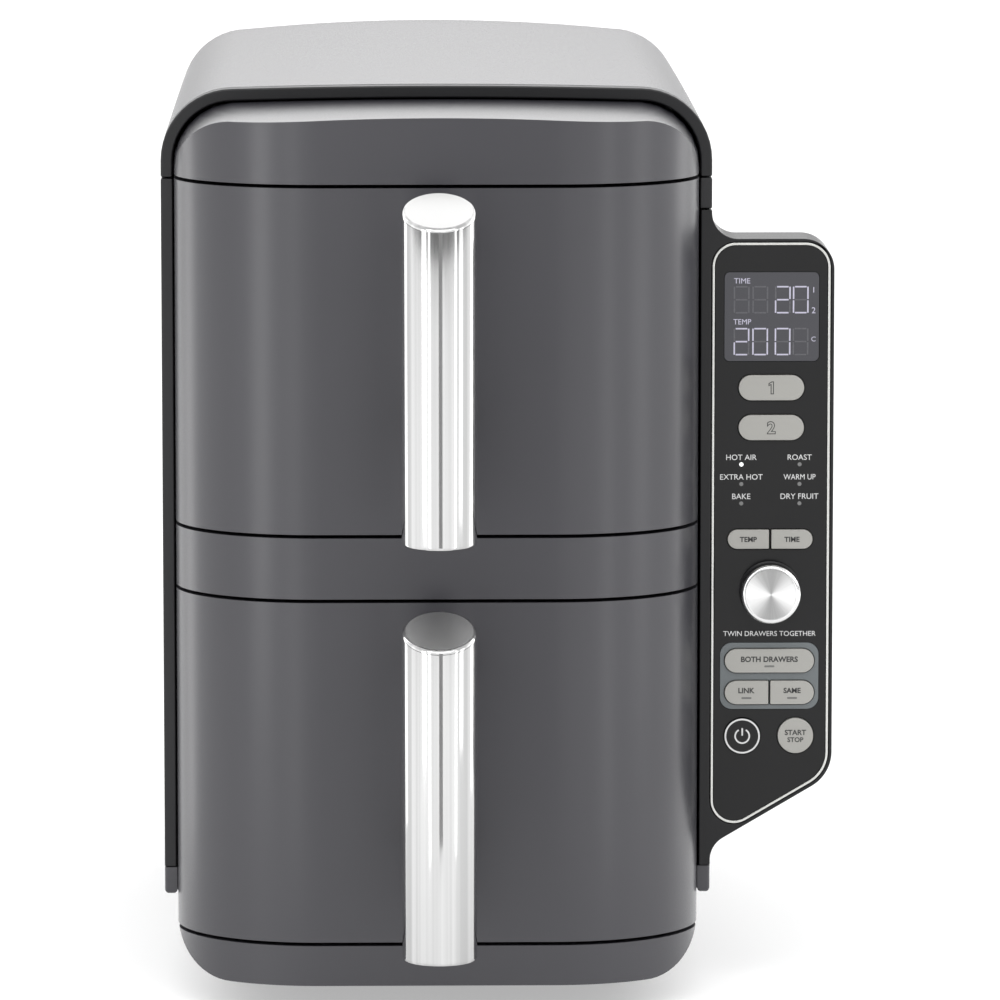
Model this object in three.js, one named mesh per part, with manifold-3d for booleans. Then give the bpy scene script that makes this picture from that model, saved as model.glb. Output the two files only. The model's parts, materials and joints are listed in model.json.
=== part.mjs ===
// A stacked twin-drawer air fryer, in millimetres. +Z is up and the front faces -Y.
// The working frame has X = 0 in the middle of the cabinet, Y = 0 at the front rim and Z = 0 on the worktop.
// The last lines shift the whole group so that its origin is under the middle of its bounding box.
import * as THREE from "three";
import { mergeVertices } from "three/addons/utils/BufferGeometryUtils.js";
import Module from "manifold-3d";

const wasm = await Module();
wasm.setup();

// ---- Driving dimensions ----
const GAP = 0.3; // clearance between neighbouring pieces
const FAR = 600; // longer than the whole object, for cutting boxes

// Cabinet shell
const SHELL_HALF = 114.9; // half the width
const SHELL_TOP = 382.7; // top of the crown at the front rim
const SHELL_CORNER = 30; // radius of the long top corners
const SHELL_WALL = 2.5;
const CROWN_FRONT = 2.2; // how much lower the top is at its sides than in its middle, at the rim
const CROWN_REAR = 7.8; // the same, at the back
const DOME_RISE = 3.1; // how much the top rises from the rim to the back
const SHELL_TAPER = 1.3; // how much narrower each side is at the back
const REAR = 355; // outer face of the back
const REAR_ROUND = 22;
const COVER_END = 341; // where the covers meet the back cover
const RIM_DEPTH = 8;
const RIM_FACE = 5; // width of the rim seen from the front
const COVER_LOW = 344.7; // lower edge of the top cover and of the rim's legs
const SIDE_LOW = 53.2; // lower edge of the side panels and of the back cover
const BAND_LOW = 41.5; // lower edge of the base tray's band, which carries the panels
const PANEL_SEAM = 0.6;

// Bowed front, shared by both drawer fronts and the three fascia strips
const BOW_FLAT = 49; // half of the flat middle
const BOW_SIDE = 60.3; // width of the elliptical shoulder
const BOW_DEPTH = 50.5; // depth of the bow in front of the rim
const FRONT_HALF = BOW_FLAT + BOW_SIDE;
const BOW_STEPS = 9; // facets in each shoulder
const FRONT_WALL = 3;
const FRONT_SEAM = 1.5;
const BODY_LOW = 12; // underside of the base
const FASCIA_TOP = 376.8;
const FASCIA_SLOPE = 3.4; // fall of the fascia's top from the rim to its front edge
const FASCIA_TAPER = 4; // how much narrower the fascia's top outline is at its front edge
const FASCIA_CORNER = 26.5; // its corner radius at the rim
const FASCIA_FRONT_CORNER = 22; // its corner radius at its front edge
const FASCIA_FRONT_CROWN = 5; // how much lower its sides are than its middle, at its front edge
const BASE_CORNER = 22;
const INNER_PANEL = [GAP, 3]; // front and back of a drawer's inner panel
const FRAME = [4.2, 7]; // front and back of the front frame

// The two drawer bays: the seams below and above each drawer front
const BAYS = [
  { name: "upper", low: 200.6, high: 345.5 },
  { name: "lower", low: 29.6, high: 173.7 },
];

// Cavities, measured from a bay's seams
const LINER_HALF = 99.2;
const LINER_WALL = 0.8;
const LINER_UNDER = 3.4;
const LINER_OVER = 3;
const LINER_DEPTH = [FRAME[1] + GAP, 301.2];
const MOUTH_HALF = 97.6;
const MOUTH_EDGE = 6.2;
const RAIL_HEIGHT = 6; // of the runners pressed into the liner walls

// Baskets and crisper plates, heights above a bay's lower seam
const BASKET_HALF = 92;
const BASKET_DEPTH = [INNER_PANEL[1] + GAP, 268];
const BASKET_CORNER = 18;
const BASKET_WALL = 1.5;
const BASKET_FLOOR = 8;
const BASKET_RIM = 102;
const FLANGE_WIDTH = 4.6;
const FLANGE_THICK = 2;
const PLATE_HALF = 86;
const PLATE_DEPTH = [10, 261];
const PLATE_HEIGHT = 18;
const PLATE_THICK = 2;
const PLATE_LEG = 4;

// Handles
const HANDLE_Y = -95; // axis of the bar
const HANDLE_RADIUS = 15.3;
const HANDLE_LOW = 2.4; // lower end above the bay's lower seam
const HANDLE_FRONT = 11.8; // front of the slanted top below the bay's upper seam
const HANDLE_BACK = -0.8; // back of the slanted top below the bay's upper seam
const HANDLE_POST = [-9, 9];
const POST_HEIGHT = 20;
const LOW_POST_INSET = 38; // from the bay's lower seam, clear of the next handle's slanted top
const HIGH_POST_INSET = 14; // from the bay's upper seam
const SPINE_THICK = 3;

// Hot-air system, on an axis through the middle of each cavity's back wall
const FAN_Y = [282, 296];
const FAN_RADIUS = 42;
const FAN_HUB = 10;
const FAN_BLADES = 8;
const SHAFT_RADIUS = 3;
const SHAFT_Y = [284, 336];
const HEATER_RADIUS = 50;
const HEATER_TUBE = 3;
const HEATER_Y = 286;
const HEATER_LEG = 6;
const HEATER_END = 309;
const GUARD_Y = [276, 277.5];
const MOTOR_FLANGE = 30;
const MOTOR_RADIUS = 24;
const MOTOR_END = 342;

// Control panel wing on the right-hand side
const WING_RIGHT = 166.1;
const WING_LEFT = 110.2;
const WING_TOP = 318.6;
const WING_DEPTH = 27;
const WING_FRONT = -0.8;
const WING_STRIP = [53.2, 330.7]; // lower and upper end of the strip beside the drawers
const WING_SLANT = Math.tan(THREE.MathUtils.degToRad(30.5));
const WING_TRIM_EDGE = 1.6; // from the wing's outline to the trim
const TRIM_WIDTH = 1.1;
const GLASS_Y = [-0.7, 1.1];
const LEDGE_Y = 1.4;
const POCKET_BACK = WING_DEPTH - 2.5;
const BOARD_Y = [7, 8.6];
const BUTTON_FRONT = -1.8;
const BUTTON_BACK = 5.6;
const BUTTON_TRAVEL_GAP = 0.35; // clearance round each button
const PILL_STEPS = 3; // facets in each quarter of a button's round ends
const DISC_SIDES = 24;

// Every control: [middle x, middle z, width, height]
const PILLS = {
  zone_1_button: [139.9, 256.1, 27.4, 10.6],
  zone_2_button: [139.9, 239.3, 27.4, 10.6],
  temp_button: [130.5, 192.1, 17.3, 8.1],
  time_button: [148.8, 192.1, 17.3, 8.1],
  both_drawers_button: [139.6, 140.5, 37.6, 10.1],
  sync_button: [130, 127, 18.4, 10],
  match_button: [149.2, 127, 18.4, 10],
};
const DISCS = {
  power_button: [128.3, 108.5, 7.5],
  start_stop_button: [150.7, 108.6, 7.5],
};
const DISPLAY = [139.9, 285.9, 39.6, 37.4];
const BACKING = [139.6, 134, 41.4, 28.2];
const DIAL = [139.7, 169.9];
const DIAL_RADIUS = 11.9;
const DIAL_SKIRT = 12.9;
const DIAL_FRONT = -10.9;
const DIAL_STEM = 2.7;

// ---- Solid helpers ----
function solid(geometry) {
  const bare = geometry.clone();
  bare.deleteAttribute("normal");
  bare.deleteAttribute("uv");
  const merged = mergeVertices(bare, 1e-4);
  const vertProperties = new Float32Array(merged.attributes.position.array);
  const triVerts = new Uint32Array(merged.index.array);
  return new wasm.Manifold(new wasm.Mesh({ numProp: 3, vertProperties, triVerts }));
}

function join(first, ...rest) {
  return rest.reduce((whole, piece) => whole.add(piece), first);
}

function cut(first, ...tools) {
  return tools.reduce((whole, tool) => whole.subtract(tool), first);
}

function block([x0, x1], [y0, y1], [z0, z1]) {
  const box = new THREE.BoxGeometry(x1 - x0, y1 - y0, z1 - z0);
  box.translate((x0 + x1) / 2, (y0 + y1) / 2, (z0 + z1) / 2);
  return solid(box);
}

// A round bar along Y.
function barY(x, z, radius, [y0, y1], sides = 24) {
  const bar = new THREE.CylinderGeometry(radius, radius, y1 - y0, sides);
  bar.translate(x, (y0 + y1) / 2, 0);
  bar.translate(0, 0, z);
  return solid(bar);
}

// A round bar along Z.
function barZ(x, y, radius, [z0, z1], sides = 24) {
  const bar = new THREE.CylinderGeometry(radius, radius, z1 - z0, sides);
  bar.rotateX(Math.PI / 2);
  bar.translate(x, y, (z0 + z1) / 2);
  return solid(bar);
}

// An outline in X-Y, raised along Z.
function prismZ(shape, [z0, z1], curveSegments = 6) {
  const settings = { depth: z1 - z0, bevelEnabled: false, curveSegments };
  const prism = new THREE.ExtrudeGeometry(shape, settings);
  prism.translate(0, 0, z0);
  return solid(prism);
}

// An outline in X-Z, extended along Y.
function prismY(shape, [y0, y1], curveSegments = 6) {
  const settings = { depth: y1 - y0, bevelEnabled: false, curveSegments };
  const prism = new THREE.ExtrudeGeometry(shape, settings);
  prism.rotateX(Math.PI / 2);
  prism.translate(0, y1, 0);
  return solid(prism);
}

// An outline in Y-Z, extended along X.
function prismX(shape, [x0, x1], curveSegments = 6) {
  const settings = { depth: x1 - x0, bevelEnabled: false, curveSegments };
  const prism = new THREE.ExtrudeGeometry(shape, settings);
  prism.applyMatrix4(
    new THREE.Matrix4().makeBasis(
      new THREE.Vector3(0, 1, 0),
      new THREE.Vector3(0, 0, 1),
      new THREE.Vector3(1, 0, 0),
    ),
  );
  prism.translate(x0, 0, 0);
  return solid(prism);
}

// A closed outline through corners [a, b, radius], listed anticlockwise and moved inwards by inset.
function roundedOutline(corners, inset = 0) {
  const count = corners.length;
  const edges = corners.map(([a, b], i) => {
    const [c, d] = corners[(i + 1) % count];
    const along = new THREE.Vector2(c - a, d - b).normalize();
    const inward = new THREE.Vector2(-along.y, along.x);
    return { along, start: new THREE.Vector2(a, b).addScaledVector(inward, inset) };
  });
  const shape = new THREE.Shape();
  corners.forEach(([, , radius], i) => {
    const before = edges[(i + count - 1) % count];
    const after = edges[i];
    const turn = before.along.cross(after.along);
    const reach = after.start.clone().sub(before.start).cross(after.along) / turn;
    const corner = before.start.clone().addScaledVector(before.along, reach);
    const round = radius === 0 ? 0 : Math.max(radius - Math.sign(turn) * inset, 0.05);
    if (round === 0) {
      if (i === 0) shape.moveTo(corner.x, corner.y);
      else shape.lineTo(corner.x, corner.y);
      return;
    }
    const half = Math.acos(THREE.MathUtils.clamp(before.along.dot(after.along), -1, 1)) / 2;
    const tangent = round * Math.tan(half);
    const enter = corner.clone().addScaledVector(before.along, -tangent);
    const inward = new THREE.Vector2(-before.along.y, before.along.x);
    const centre = enter.clone().addScaledVector(inward, Math.sign(turn) * round);
    const from = Math.atan2(enter.y - centre.y, enter.x - centre.x);
    if (i === 0) shape.moveTo(enter.x, enter.y);
    else shape.lineTo(enter.x, enter.y);
    shape.absarc(centre.x, centre.y, round, from, from + Math.sign(turn) * 2 * half, turn < 0);
  });
  shape.closePath();
  return shape;
}

// Corners of a rectangle with one radius, for roundedOutline.
function rectangle([a0, a1], [b0, b1], radius) {
  return [
    [a0, b0, radius],
    [a1, b0, radius],
    [a1, b1, radius],
    [a0, b1, radius],
  ];
}

function centredRectangle([x, z, width, height], radius) {
  return rectangle([x - width / 2, x + width / 2], [z - height / 2, z + height / 2], radius);
}

// A closed skin over stations { y, points }, each a ring of [x, z] anticlockwise seen from the front.
function loft(stations) {
  const count = stations[0].points.length;
  const positions = [];
  stations.forEach(({ y, points }) => points.forEach(([x, z]) => positions.push(x, y, z)));
  const index = [];
  for (let s = 0; s + 1 < stations.length; s += 1) {
    for (let i = 0; i < count; i += 1) {
      const a = s * count + i;
      const b = s * count + ((i + 1) % count);
      index.push(a, a + count, b + count);
      index.push(a, b + count, b);
    }
  }
  const ring = stations[0].points.map(([x, z]) => new THREE.Vector2(x, z));
  const last = (stations.length - 1) * count;
  THREE.ShapeUtils.triangulateShape(ring, []).forEach(([a, b, c]) => {
    index.push(a, b, c);
    index.push(last + a, last + c, last + b);
  });
  const skin = new THREE.BufferGeometry();
  skin.setAttribute("position", new THREE.Float32BufferAttribute(positions, 3));
  skin.setIndex(index);
  return solid(skin);
}

// The cabinet's cross-section: upright sides, round top corners and a slightly crowned top.
function archPoints(half, top, corner, bottom, crownDrop = CROWN_FRONT) {
  const steps = 6;
  const flat = half - corner;
  const crown = (x) => top - crownDrop * (x / half) ** 2;
  const centre = crown(flat) - corner;
  const points = [[half, bottom]];
  for (let i = 0; i <= steps; i += 1) {
    const angle = (i / steps) * (Math.PI / 2);
    points.push([flat + corner * Math.cos(angle), centre + corner * Math.sin(angle)]);
  }
  for (let i = 1; i < steps; i += 1) {
    const x = flat * (1 - (2 * i) / steps);
    points.push([x, crown(x)]);
  }
  for (let i = 0; i <= steps; i += 1) {
    const angle = Math.PI / 2 + (i / steps) * (Math.PI / 2);
    points.push([-flat + corner * Math.cos(angle), centre + corner * Math.sin(angle)]);
  }
  points.push([-half, bottom]);
  return points;
}

// The space inside the cabinet's outer surface, moved inwards by inset, closed at the back.
function envelope(inset, front) {
  const bottom = 20;
  const round = REAR_ROUND - inset;
  const station = (y, shrink) => {
    const share = y / REAR;
    const rise = DOME_RISE * (1 - (1 - share) ** 2);
    const less = inset + shrink;
    const half = SHELL_HALF - SHELL_TAPER * share - less;
    const crownDrop = THREE.MathUtils.lerp(CROWN_FRONT, CROWN_REAR, share);
    const top = SHELL_TOP + rise - less;
    return { y, points: archPoints(half, top, SHELL_CORNER - less, bottom, crownDrop) };
  };
  const stations = [front, 70, 140, 210, 280].map((y) => station(y, 0));
  const arcSteps = 6;
  for (let i = 0; i <= arcSteps; i += 1) {
    const angle = (i / arcSteps) * (Math.PI / 2);
    const y = REAR - inset - round + round * Math.sin(angle);
    stations.push(station(y, round * (1 - Math.cos(angle))));
  }
  return loft(stations);
}

// ---- Cabinet ----
const shell = cut(envelope(0, 0), envelope(SHELL_WALL, -1));

function topCover() {
  return shell.intersect(block([-FAR, FAR], [RIM_DEPTH + GAP, COVER_END], [COVER_LOW, FAR]));
}

function frontRim() {
  const rim = (inset, y) => {
    const points = archPoints(SHELL_HALF - inset, SHELL_TOP - inset, SHELL_CORNER - inset, 300);
    return { y, points };
  };
  const outer = loft([rim(0, 0), rim(0, RIM_DEPTH)]);
  const inner = loft([rim(RIM_FACE, -1), rim(RIM_FACE, RIM_DEPTH + 1)]);
  return cut(outer, inner).intersect(block([-FAR, FAR], [-1, FAR], [COVER_LOW, FAR]));
}

// side is -1 for the left panel and 1 for the right one, which leaves room for the control wing.
function sidePanel(side) {
  const inner = SHELL_HALF - RIM_FACE;
  const xs = side < 0 ? [-FAR, 0] : [0, FAR];
  const flange = side < 0 ? [-SHELL_HALF, -inner] : [inner, SHELL_HALF];
  const upright = [SIDE_LOW, COVER_LOW - PANEL_SEAM];
  const sheet = shell.intersect(block(xs, [0, COVER_END], upright));
  const lip = block(flange, [0, SHELL_WALL], upright);
  const whole = join(sheet, lip);
  if (side < 0) return whole;
  const [low, high] = WING_STRIP;
  return cut(whole, block([0, FAR], [-1, WING_DEPTH + GAP], [low - GAP, high + PANEL_SEAM]));
}

function ventSlots() {
  const slots = [];
  for (const bay of BAYS) {
    const middle = fanHeight(bay);
    for (let i = -2; i <= 2; i += 1) {
      const z = middle + i * 12;
      slots.push(block([-42, 42], [REAR - 10, REAR + 10], [z - 2, z + 2]));
    }
  }
  return slots;
}

function backCover() {
  const region = block([-FAR, FAR], [COVER_END + GAP, REAR + 1], [SIDE_LOW, FAR]);
  const inletHole = barY(INLET[0], INLET[1], INLET_RADIUS + GAP, [REAR - 20, REAR + 20]);
  return cut(shell.intersect(region), inletHole, ...ventSlots());
}

const INLET = [-78, 64];
const INLET_RADIUS = 7;
function cordInlet() {
  const collar = barY(...INLET, INLET_RADIUS, [REAR - 8, REAR + 3]);
  const flange = barY(...INLET, INLET_RADIUS + 3, [REAR + GAP, REAR + 3]);
  const nose = barY(...INLET, 5, [REAR + 2, REAR + 6]);
  const bore = barY(...INLET, 3.2, [REAR - 10, REAR + 10], 12);
  return cut(join(collar, flange, nose), bore);
}

// The outline of the base, with the front fascia's bottom corners.
function baseOutline(inset) {
  return roundedOutline(
    [
      [-FRONT_HALF, BODY_LOW, BASE_CORNER],
      [FRONT_HALF, BODY_LOW, BASE_CORNER],
      [FRONT_HALF, 60, 0],
      [-FRONT_HALF, 60, 0],
    ],
    inset,
  );
}

// The band round the top of the tray, flush with the side panels that stand on it.
function baseBand(front) {
  const slab = block([-FAR, FAR], [0, FAR], [BAND_LOW, SIDE_LOW - GAP]);
  const mouth = block([-FRONT_HALF - GAP, FRONT_HALF + GAP], [-1, front], [0, 80]);
  return cut(envelope(0, 0).intersect(slab), mouth);
}

// A tray across the bottom of the cabinet, open over the lower cavity.
function baseTray() {
  const back = REAR - SHELL_WALL - 1;
  const front = FRAME[1] + GAP;
  const plan = roundedOutline(rectangle([-FRONT_HALF, FRONT_HALF], [front, back], REAR_ROUND));
  const tray = prismY(baseOutline(0), [front, back]).intersect(prismZ(plan, [0, SIDE_LOW - GAP]));
  const outer = join(tray, baseBand(front));
  const hollow = prismY(baseOutline(3), [front + 3, back - 3]);
  const clearPlan = roundedOutline(rectangle([-FRONT_HALF, FRONT_HALF], [front, back], REAR_ROUND), 3);
  const linerLow = BAYS[1].low + LINER_UNDER - 2 * GAP;
  const linerBay = block([-LINER_HALF - 1, LINER_HALF + 1], [0, LINER_DEPTH[1] + 2], [linerLow, 80]);
  return cut(outer, hollow.intersect(prismZ(clearPlan, [0, 80])), linerBay);
}

function foot(x, y) {
  const profile = [
    [0, 0],
    [8.5, 0],
    [9.5, 1],
    [10, BODY_LOW - GAP],
    [0, BODY_LOW - GAP],
  ].map(([r, z]) => new THREE.Vector2(r, z));
  const pad = new THREE.LatheGeometry(profile, 16);
  pad.rotateX(Math.PI / 2);
  pad.translate(x, y, 0);
  return solid(pad);
}

function frontFrame() {
  const outline = (y) => ({
    y,
    points: archPoints(FRONT_HALF, FASCIA_TOP, FASCIA_CORNER, 32),
  });
  const plate = loft(FRAME.map(outline));
  const mouths = BAYS.map(({ low, high }) =>
    block([-MOUTH_HALF, MOUTH_HALF], [0, 20], [low + MOUTH_EDGE, high - MOUTH_EDGE]),
  );
  return cut(plate, ...mouths);
}

// ---- Bowed fronts ----
function bowPlan(inset, back) {
  const half = FRONT_HALF - inset;
  const side = BOW_SIDE - inset;
  const depth = BOW_DEPTH - inset;
  const plan = new THREE.Shape();
  plan.moveTo(half, 0);
  plan.lineTo(half, back);
  plan.lineTo(-half, back);
  plan.lineTo(-half, 0);
  plan.absellipse(-BOW_FLAT, 0, side, depth, Math.PI, 1.5 * Math.PI);
  plan.lineTo(BOW_FLAT, -depth);
  plan.absellipse(BOW_FLAT, 0, side, depth, 1.5 * Math.PI, 2 * Math.PI);
  return plan;
}

// A bowed box between two heights, open at the back.
function bowedShell([low, high], back) {
  const outer = prismZ(bowPlan(0, back), [low, high], BOW_STEPS);
  const hollow = prismZ(bowPlan(FRONT_WALL, back + 1), [low + FRONT_WALL, high - FRONT_WALL], BOW_STEPS);
  return cut(outer, hollow);
}

// The fascia's top: the rim's arch, lower and narrower towards the front.
function fasciaCap(inset) {
  const reach = BOW_DEPTH + 2;
  const at = (y, share) => {
    const half = FRONT_HALF - inset - FASCIA_TAPER * share;
    const top = FASCIA_TOP - inset - FASCIA_SLOPE * share;
    const corner = THREE.MathUtils.lerp(FASCIA_CORNER, FASCIA_FRONT_CORNER, share) - inset;
    const crownDrop = THREE.MathUtils.lerp(CROWN_FRONT, FASCIA_FRONT_CROWN, share);
    return { y, points: archPoints(half, top, corner, 300, crownDrop) };
  };
  return loft([at(-reach, 1), at(FRAME[0], -FRAME[0] / reach)]);
}

function topFascia() {
  const low = BAYS[0].high + FRONT_SEAM / 2;
  const back = FRAME[0] - GAP;
  const outer = prismZ(bowPlan(0, back), [low, 400], BOW_STEPS).intersect(fasciaCap(0));
  const inner = prismZ(bowPlan(FRONT_WALL, back + 1), [low + FRONT_WALL, 400], BOW_STEPS);
  return cut(outer, inner.intersect(fasciaCap(FRONT_WALL)));
}

function middleFascia() {
  const [upper, lower] = BAYS;
  return bowedShell([lower.high + FRONT_SEAM / 2, upper.low - FRONT_SEAM / 2], FRAME[0] - GAP);
}

function bottomFascia() {
  const high = BAYS[1].low - FRONT_SEAM / 2;
  const back = FRAME[0] - GAP;
  const outer = prismZ(bowPlan(0, back), [0, high], BOW_STEPS);
  const inner = prismZ(bowPlan(FRONT_WALL, back + 1), [0, high - FRONT_WALL], BOW_STEPS);
  const hollow = inner.intersect(prismY(baseOutline(FRONT_WALL), [-80, 20], 8));
  return cut(outer.intersect(prismY(baseOutline(0), [-80, 20], 8)), hollow);
}

// ---- Drawers ----
function drawerFront({ low, high }) {
  return bowedShell([low + FRONT_SEAM / 2, high - FRONT_SEAM / 2], 0);
}

function innerPanel({ low, high }) {
  const corners = rectangle([-107, 107], [low + 3, high - 3], 6);
  return prismY(roundedOutline(corners), INNER_PANEL, 3);
}

function basket({ low }) {
  const plan = (inset) =>
    roundedOutline(rectangle([-BASKET_HALF, BASKET_HALF], BASKET_DEPTH, BASKET_CORNER), inset);
  const [front, back] = BASKET_DEPTH;
  const reach = BASKET_HALF + FLANGE_WIDTH;
  const flangePlan = rectangle([-reach, reach], [front, back + FLANGE_WIDTH], BASKET_CORNER);
  const rim = low + BASKET_RIM;
  const tub = prismZ(plan(0), [low + BASKET_FLOOR, rim], 4);
  const flange = prismZ(roundedOutline(flangePlan), [rim - FLANGE_THICK, rim], 4);
  const hollow = prismZ(plan(BASKET_WALL), [low + BASKET_FLOOR + BASKET_WALL, rim + 1], 4);
  return cut(join(tub, flange), hollow);
}

function crisperPlate({ low }) {
  const bottom = low + PLATE_HEIGHT;
  const corners = rectangle([-PLATE_HALF, PLATE_HALF], PLATE_DEPTH, BASKET_CORNER - 4);
  const plate = prismZ(roundedOutline(corners), [bottom, bottom + PLATE_THICK], 3);
  const floor = low + BASKET_FLOOR + BASKET_WALL + GAP;
  const [front, back] = PLATE_DEPTH;
  const legs = [];
  for (const x of [-70, 70]) {
    for (const y of [front + 16, back - 16]) {
      legs.push(barZ(x, y, PLATE_LEG, [floor, bottom + 1], 10));
    }
  }
  const slots = [];
  for (const x of [-54, -18, 18, 54]) {
    for (let i = 0; i < 5; i += 1) {
      const y = front + 40 + i * 42;
      slots.push(block([x - 4, x + 4], [y - 14, y + 14], [bottom - 1, bottom + PLATE_THICK + 1]));
    }
  }
  return cut(join(plate, ...legs), ...slots);
}

function handleBar({ low, high }) {
  const front = HANDLE_Y - HANDLE_RADIUS - 1;
  const back = HANDLE_Y + HANDLE_RADIUS + 1;
  const fall = (HANDLE_FRONT - HANDLE_BACK) / (2 * HANDLE_RADIUS);
  const side = [
    [front, low + HANDLE_LOW, 0],
    [back, low + HANDLE_LOW, 0],
    [back, high - HANDLE_BACK + fall, 0],
    [front, high - HANDLE_FRONT - fall, 0],
  ];
  const bar = barZ(0, HANDLE_Y, HANDLE_RADIUS, [low, high + 5], 40);
  return bar.intersect(prismX(roundedOutline(side), [-20, 20]));
}

// Two posts joined by a spine that backs the bar.
function handleMount({ low, high }) {
  const clearance = HANDLE_RADIUS + GAP;
  const front = HANDLE_Y + clearance * 0.4;
  const back = -BOW_DEPTH - GAP;
  const posts = [
    [low + LOW_POST_INSET, low + LOW_POST_INSET + POST_HEIGHT],
    [high - HIGH_POST_INSET - POST_HEIGHT, high - HIGH_POST_INSET],
  ].map((span) => prismZ(roundedOutline(rectangle(HANDLE_POST, [front, back], 3)), span, 3));
  const spine = block(
    [-6.5, 6.5],
    [HANDLE_Y + clearance - 3, HANDLE_Y + clearance + SPINE_THICK],
    [low + LOW_POST_INSET, high - HIGH_POST_INSET],
  );
  const bar = barZ(0, HANDLE_Y, clearance, [low - 10, high + 10], 40);
  return cut(join(spine, ...posts), bar);
}

// ---- Cavities and hot-air system ----
function fanHeight({ low, high }) {
  return (low + LINER_UNDER + high - LINER_OVER) / 2;
}

function cavityLiner(bay) {
  const [front, back] = LINER_DEPTH;
  const low = bay.low + LINER_UNDER;
  const high = bay.high - LINER_OVER;
  const inner = LINER_HALF - LINER_WALL;
  const outer = block([-LINER_HALF, LINER_HALF], [front, back], [low, high]);
  const span = [low + LINER_WALL, high - LINER_WALL];
  const hollow = block([-inner, inner], [front - 1, back - LINER_WALL], span);
  const z = fanHeight(bay);
  const through = [back - 5, back + 5];
  const shaftHole = barY(0, z, SHAFT_RADIUS + 3, through, 12);
  const terminals = [-1, 1].map((side) =>
    barY(side * HEATER_LEG, z - HEATER_RADIUS, HEATER_TUBE + 1, through, 10),
  );
  const railTop = bay.low + BASKET_RIM - FLANGE_THICK - 0.4;
  const railSpan = [front + 1, GUARD_Y[0] - 2];
  const rails = [-1, 1].map((side) => {
    const xs = [side * (BASKET_HALF + 1), side * (inner + 0.5)].sort((a, b) => a - b);
    return block(xs, railSpan, [railTop - RAIL_HEIGHT, railTop]);
  });
  return join(cut(outer, hollow, shaftHole, ...terminals), ...rails);
}

// A folded sheet between the two liners, open underneath.
function bayDivider() {
  const [upper, lower] = BAYS;
  const low = lower.high - LINER_OVER + 4;
  const high = upper.low + LINER_UNDER - 4;
  const [front, back] = LINER_DEPTH;
  const pan = block([-LINER_HALF, LINER_HALF], LINER_DEPTH, [low, high]);
  const inside = [-LINER_HALF + LINER_WALL, LINER_HALF - LINER_WALL];
  return cut(pan, block(inside, [front + LINER_WALL, back - LINER_WALL], [low - 1, high - LINER_WALL]));
}

function heatingElement(bay) {
  const z = fanHeight(bay);
  const spread = Math.asin(HEATER_LEG / HEATER_RADIUS);
  const leg = (side, y) =>
    new THREE.Vector3(side * HEATER_LEG, y, z - HEATER_RADIUS);
  const points = [leg(-1, HEATER_END), leg(-1, HEATER_END - 8), leg(-1, HEATER_Y + 6)];
  const turns = 18;
  for (let i = 0; i <= turns; i += 1) {
    const angle = -Math.PI / 2 - spread * 2 - (i / turns) * (2 * Math.PI - spread * 4);
    const x = HEATER_RADIUS * Math.cos(angle);
    points.push(new THREE.Vector3(x, HEATER_Y, z + HEATER_RADIUS * Math.sin(angle)));
  }
  points.push(leg(1, HEATER_Y + 6), leg(1, HEATER_END - 8), leg(1, HEATER_END));
  const section = new THREE.Shape();
  section.absarc(0, 0, HEATER_TUBE, 0, 2 * Math.PI);
  const path = new THREE.CatmullRomCurve3(points);
  const settings = { steps: 44, extrudePath: path, bevelEnabled: false, curveSegments: 3 };
  return solid(new THREE.ExtrudeGeometry(section, settings));
}

function fan(bay) {
  const z = fanHeight(bay);
  const [front, back] = FAN_Y;
  const disc = barY(0, 0, FAN_RADIUS - 1, [back - 1.5, back], 24);
  const hub = barY(0, 0, FAN_HUB, [front, back], 16);
  const blades = [];
  for (let i = 0; i < FAN_BLADES; i += 1) {
    const blade = new THREE.BoxGeometry(FAN_RADIUS - FAN_HUB + 1, back - front - 1, 1.4);
    blade.translate((FAN_RADIUS + FAN_HUB - 1) / 2, (front + back) / 2 + 0.5, 0);
    blade.rotateY(((i + 0.5) / FAN_BLADES) * 2 * Math.PI);
    blades.push(solid(blade));
  }
  const bore = barY(0, 0, SHAFT_RADIUS + GAP, [front - 2, back + 2], 16);
  return cut(join(disc, hub, ...blades), bore).translate(0, 0, z);
}

function fanShaft(bay) {
  return barY(0, fanHeight(bay), SHAFT_RADIUS, SHAFT_Y, 16);
}

function fanMotor(bay) {
  const z = fanHeight(bay);
  const front = LINER_DEPTH[1] + GAP;
  const flange = barY(0, z, MOTOR_FLANGE, [front, front + 2], 24);
  const can = barY(0, z, MOTOR_RADIUS, [front + 1, MOTOR_END], 24);
  const bore = barY(0, z, SHAFT_RADIUS + GAP, [front - 1, SHAFT_Y[1] + 1], 16);
  return cut(join(flange, can), bore);
}

function fanGuard(bay) {
  const z = fanHeight(bay);
  const span = [bay.low + LINER_UNDER + LINER_WALL + 1, bay.high - LINER_OVER - LINER_WALL - 1];
  const plate = block([-LINER_HALF + 3, LINER_HALF - 3], GUARD_Y, span);
  const slots = [];
  const count = 14;
  for (let i = 0; i < count; i += 1) {
    const slot = new THREE.BoxGeometry(26, 10, 5);
    slot.translate(34, GUARD_Y[0], 0);
    slot.rotateY((i / count) * 2 * Math.PI);
    slot.translate(0, 0, z);
    slots.push(solid(slot));
  }
  return cut(plate, barY(0, z, 14, [GUARD_Y[0] - 2, GUARD_Y[1] + 2], 16), ...slots);
}

function powerBoard() {
  return block([-64, 64], [326, 328], [176, 198]);
}

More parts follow.
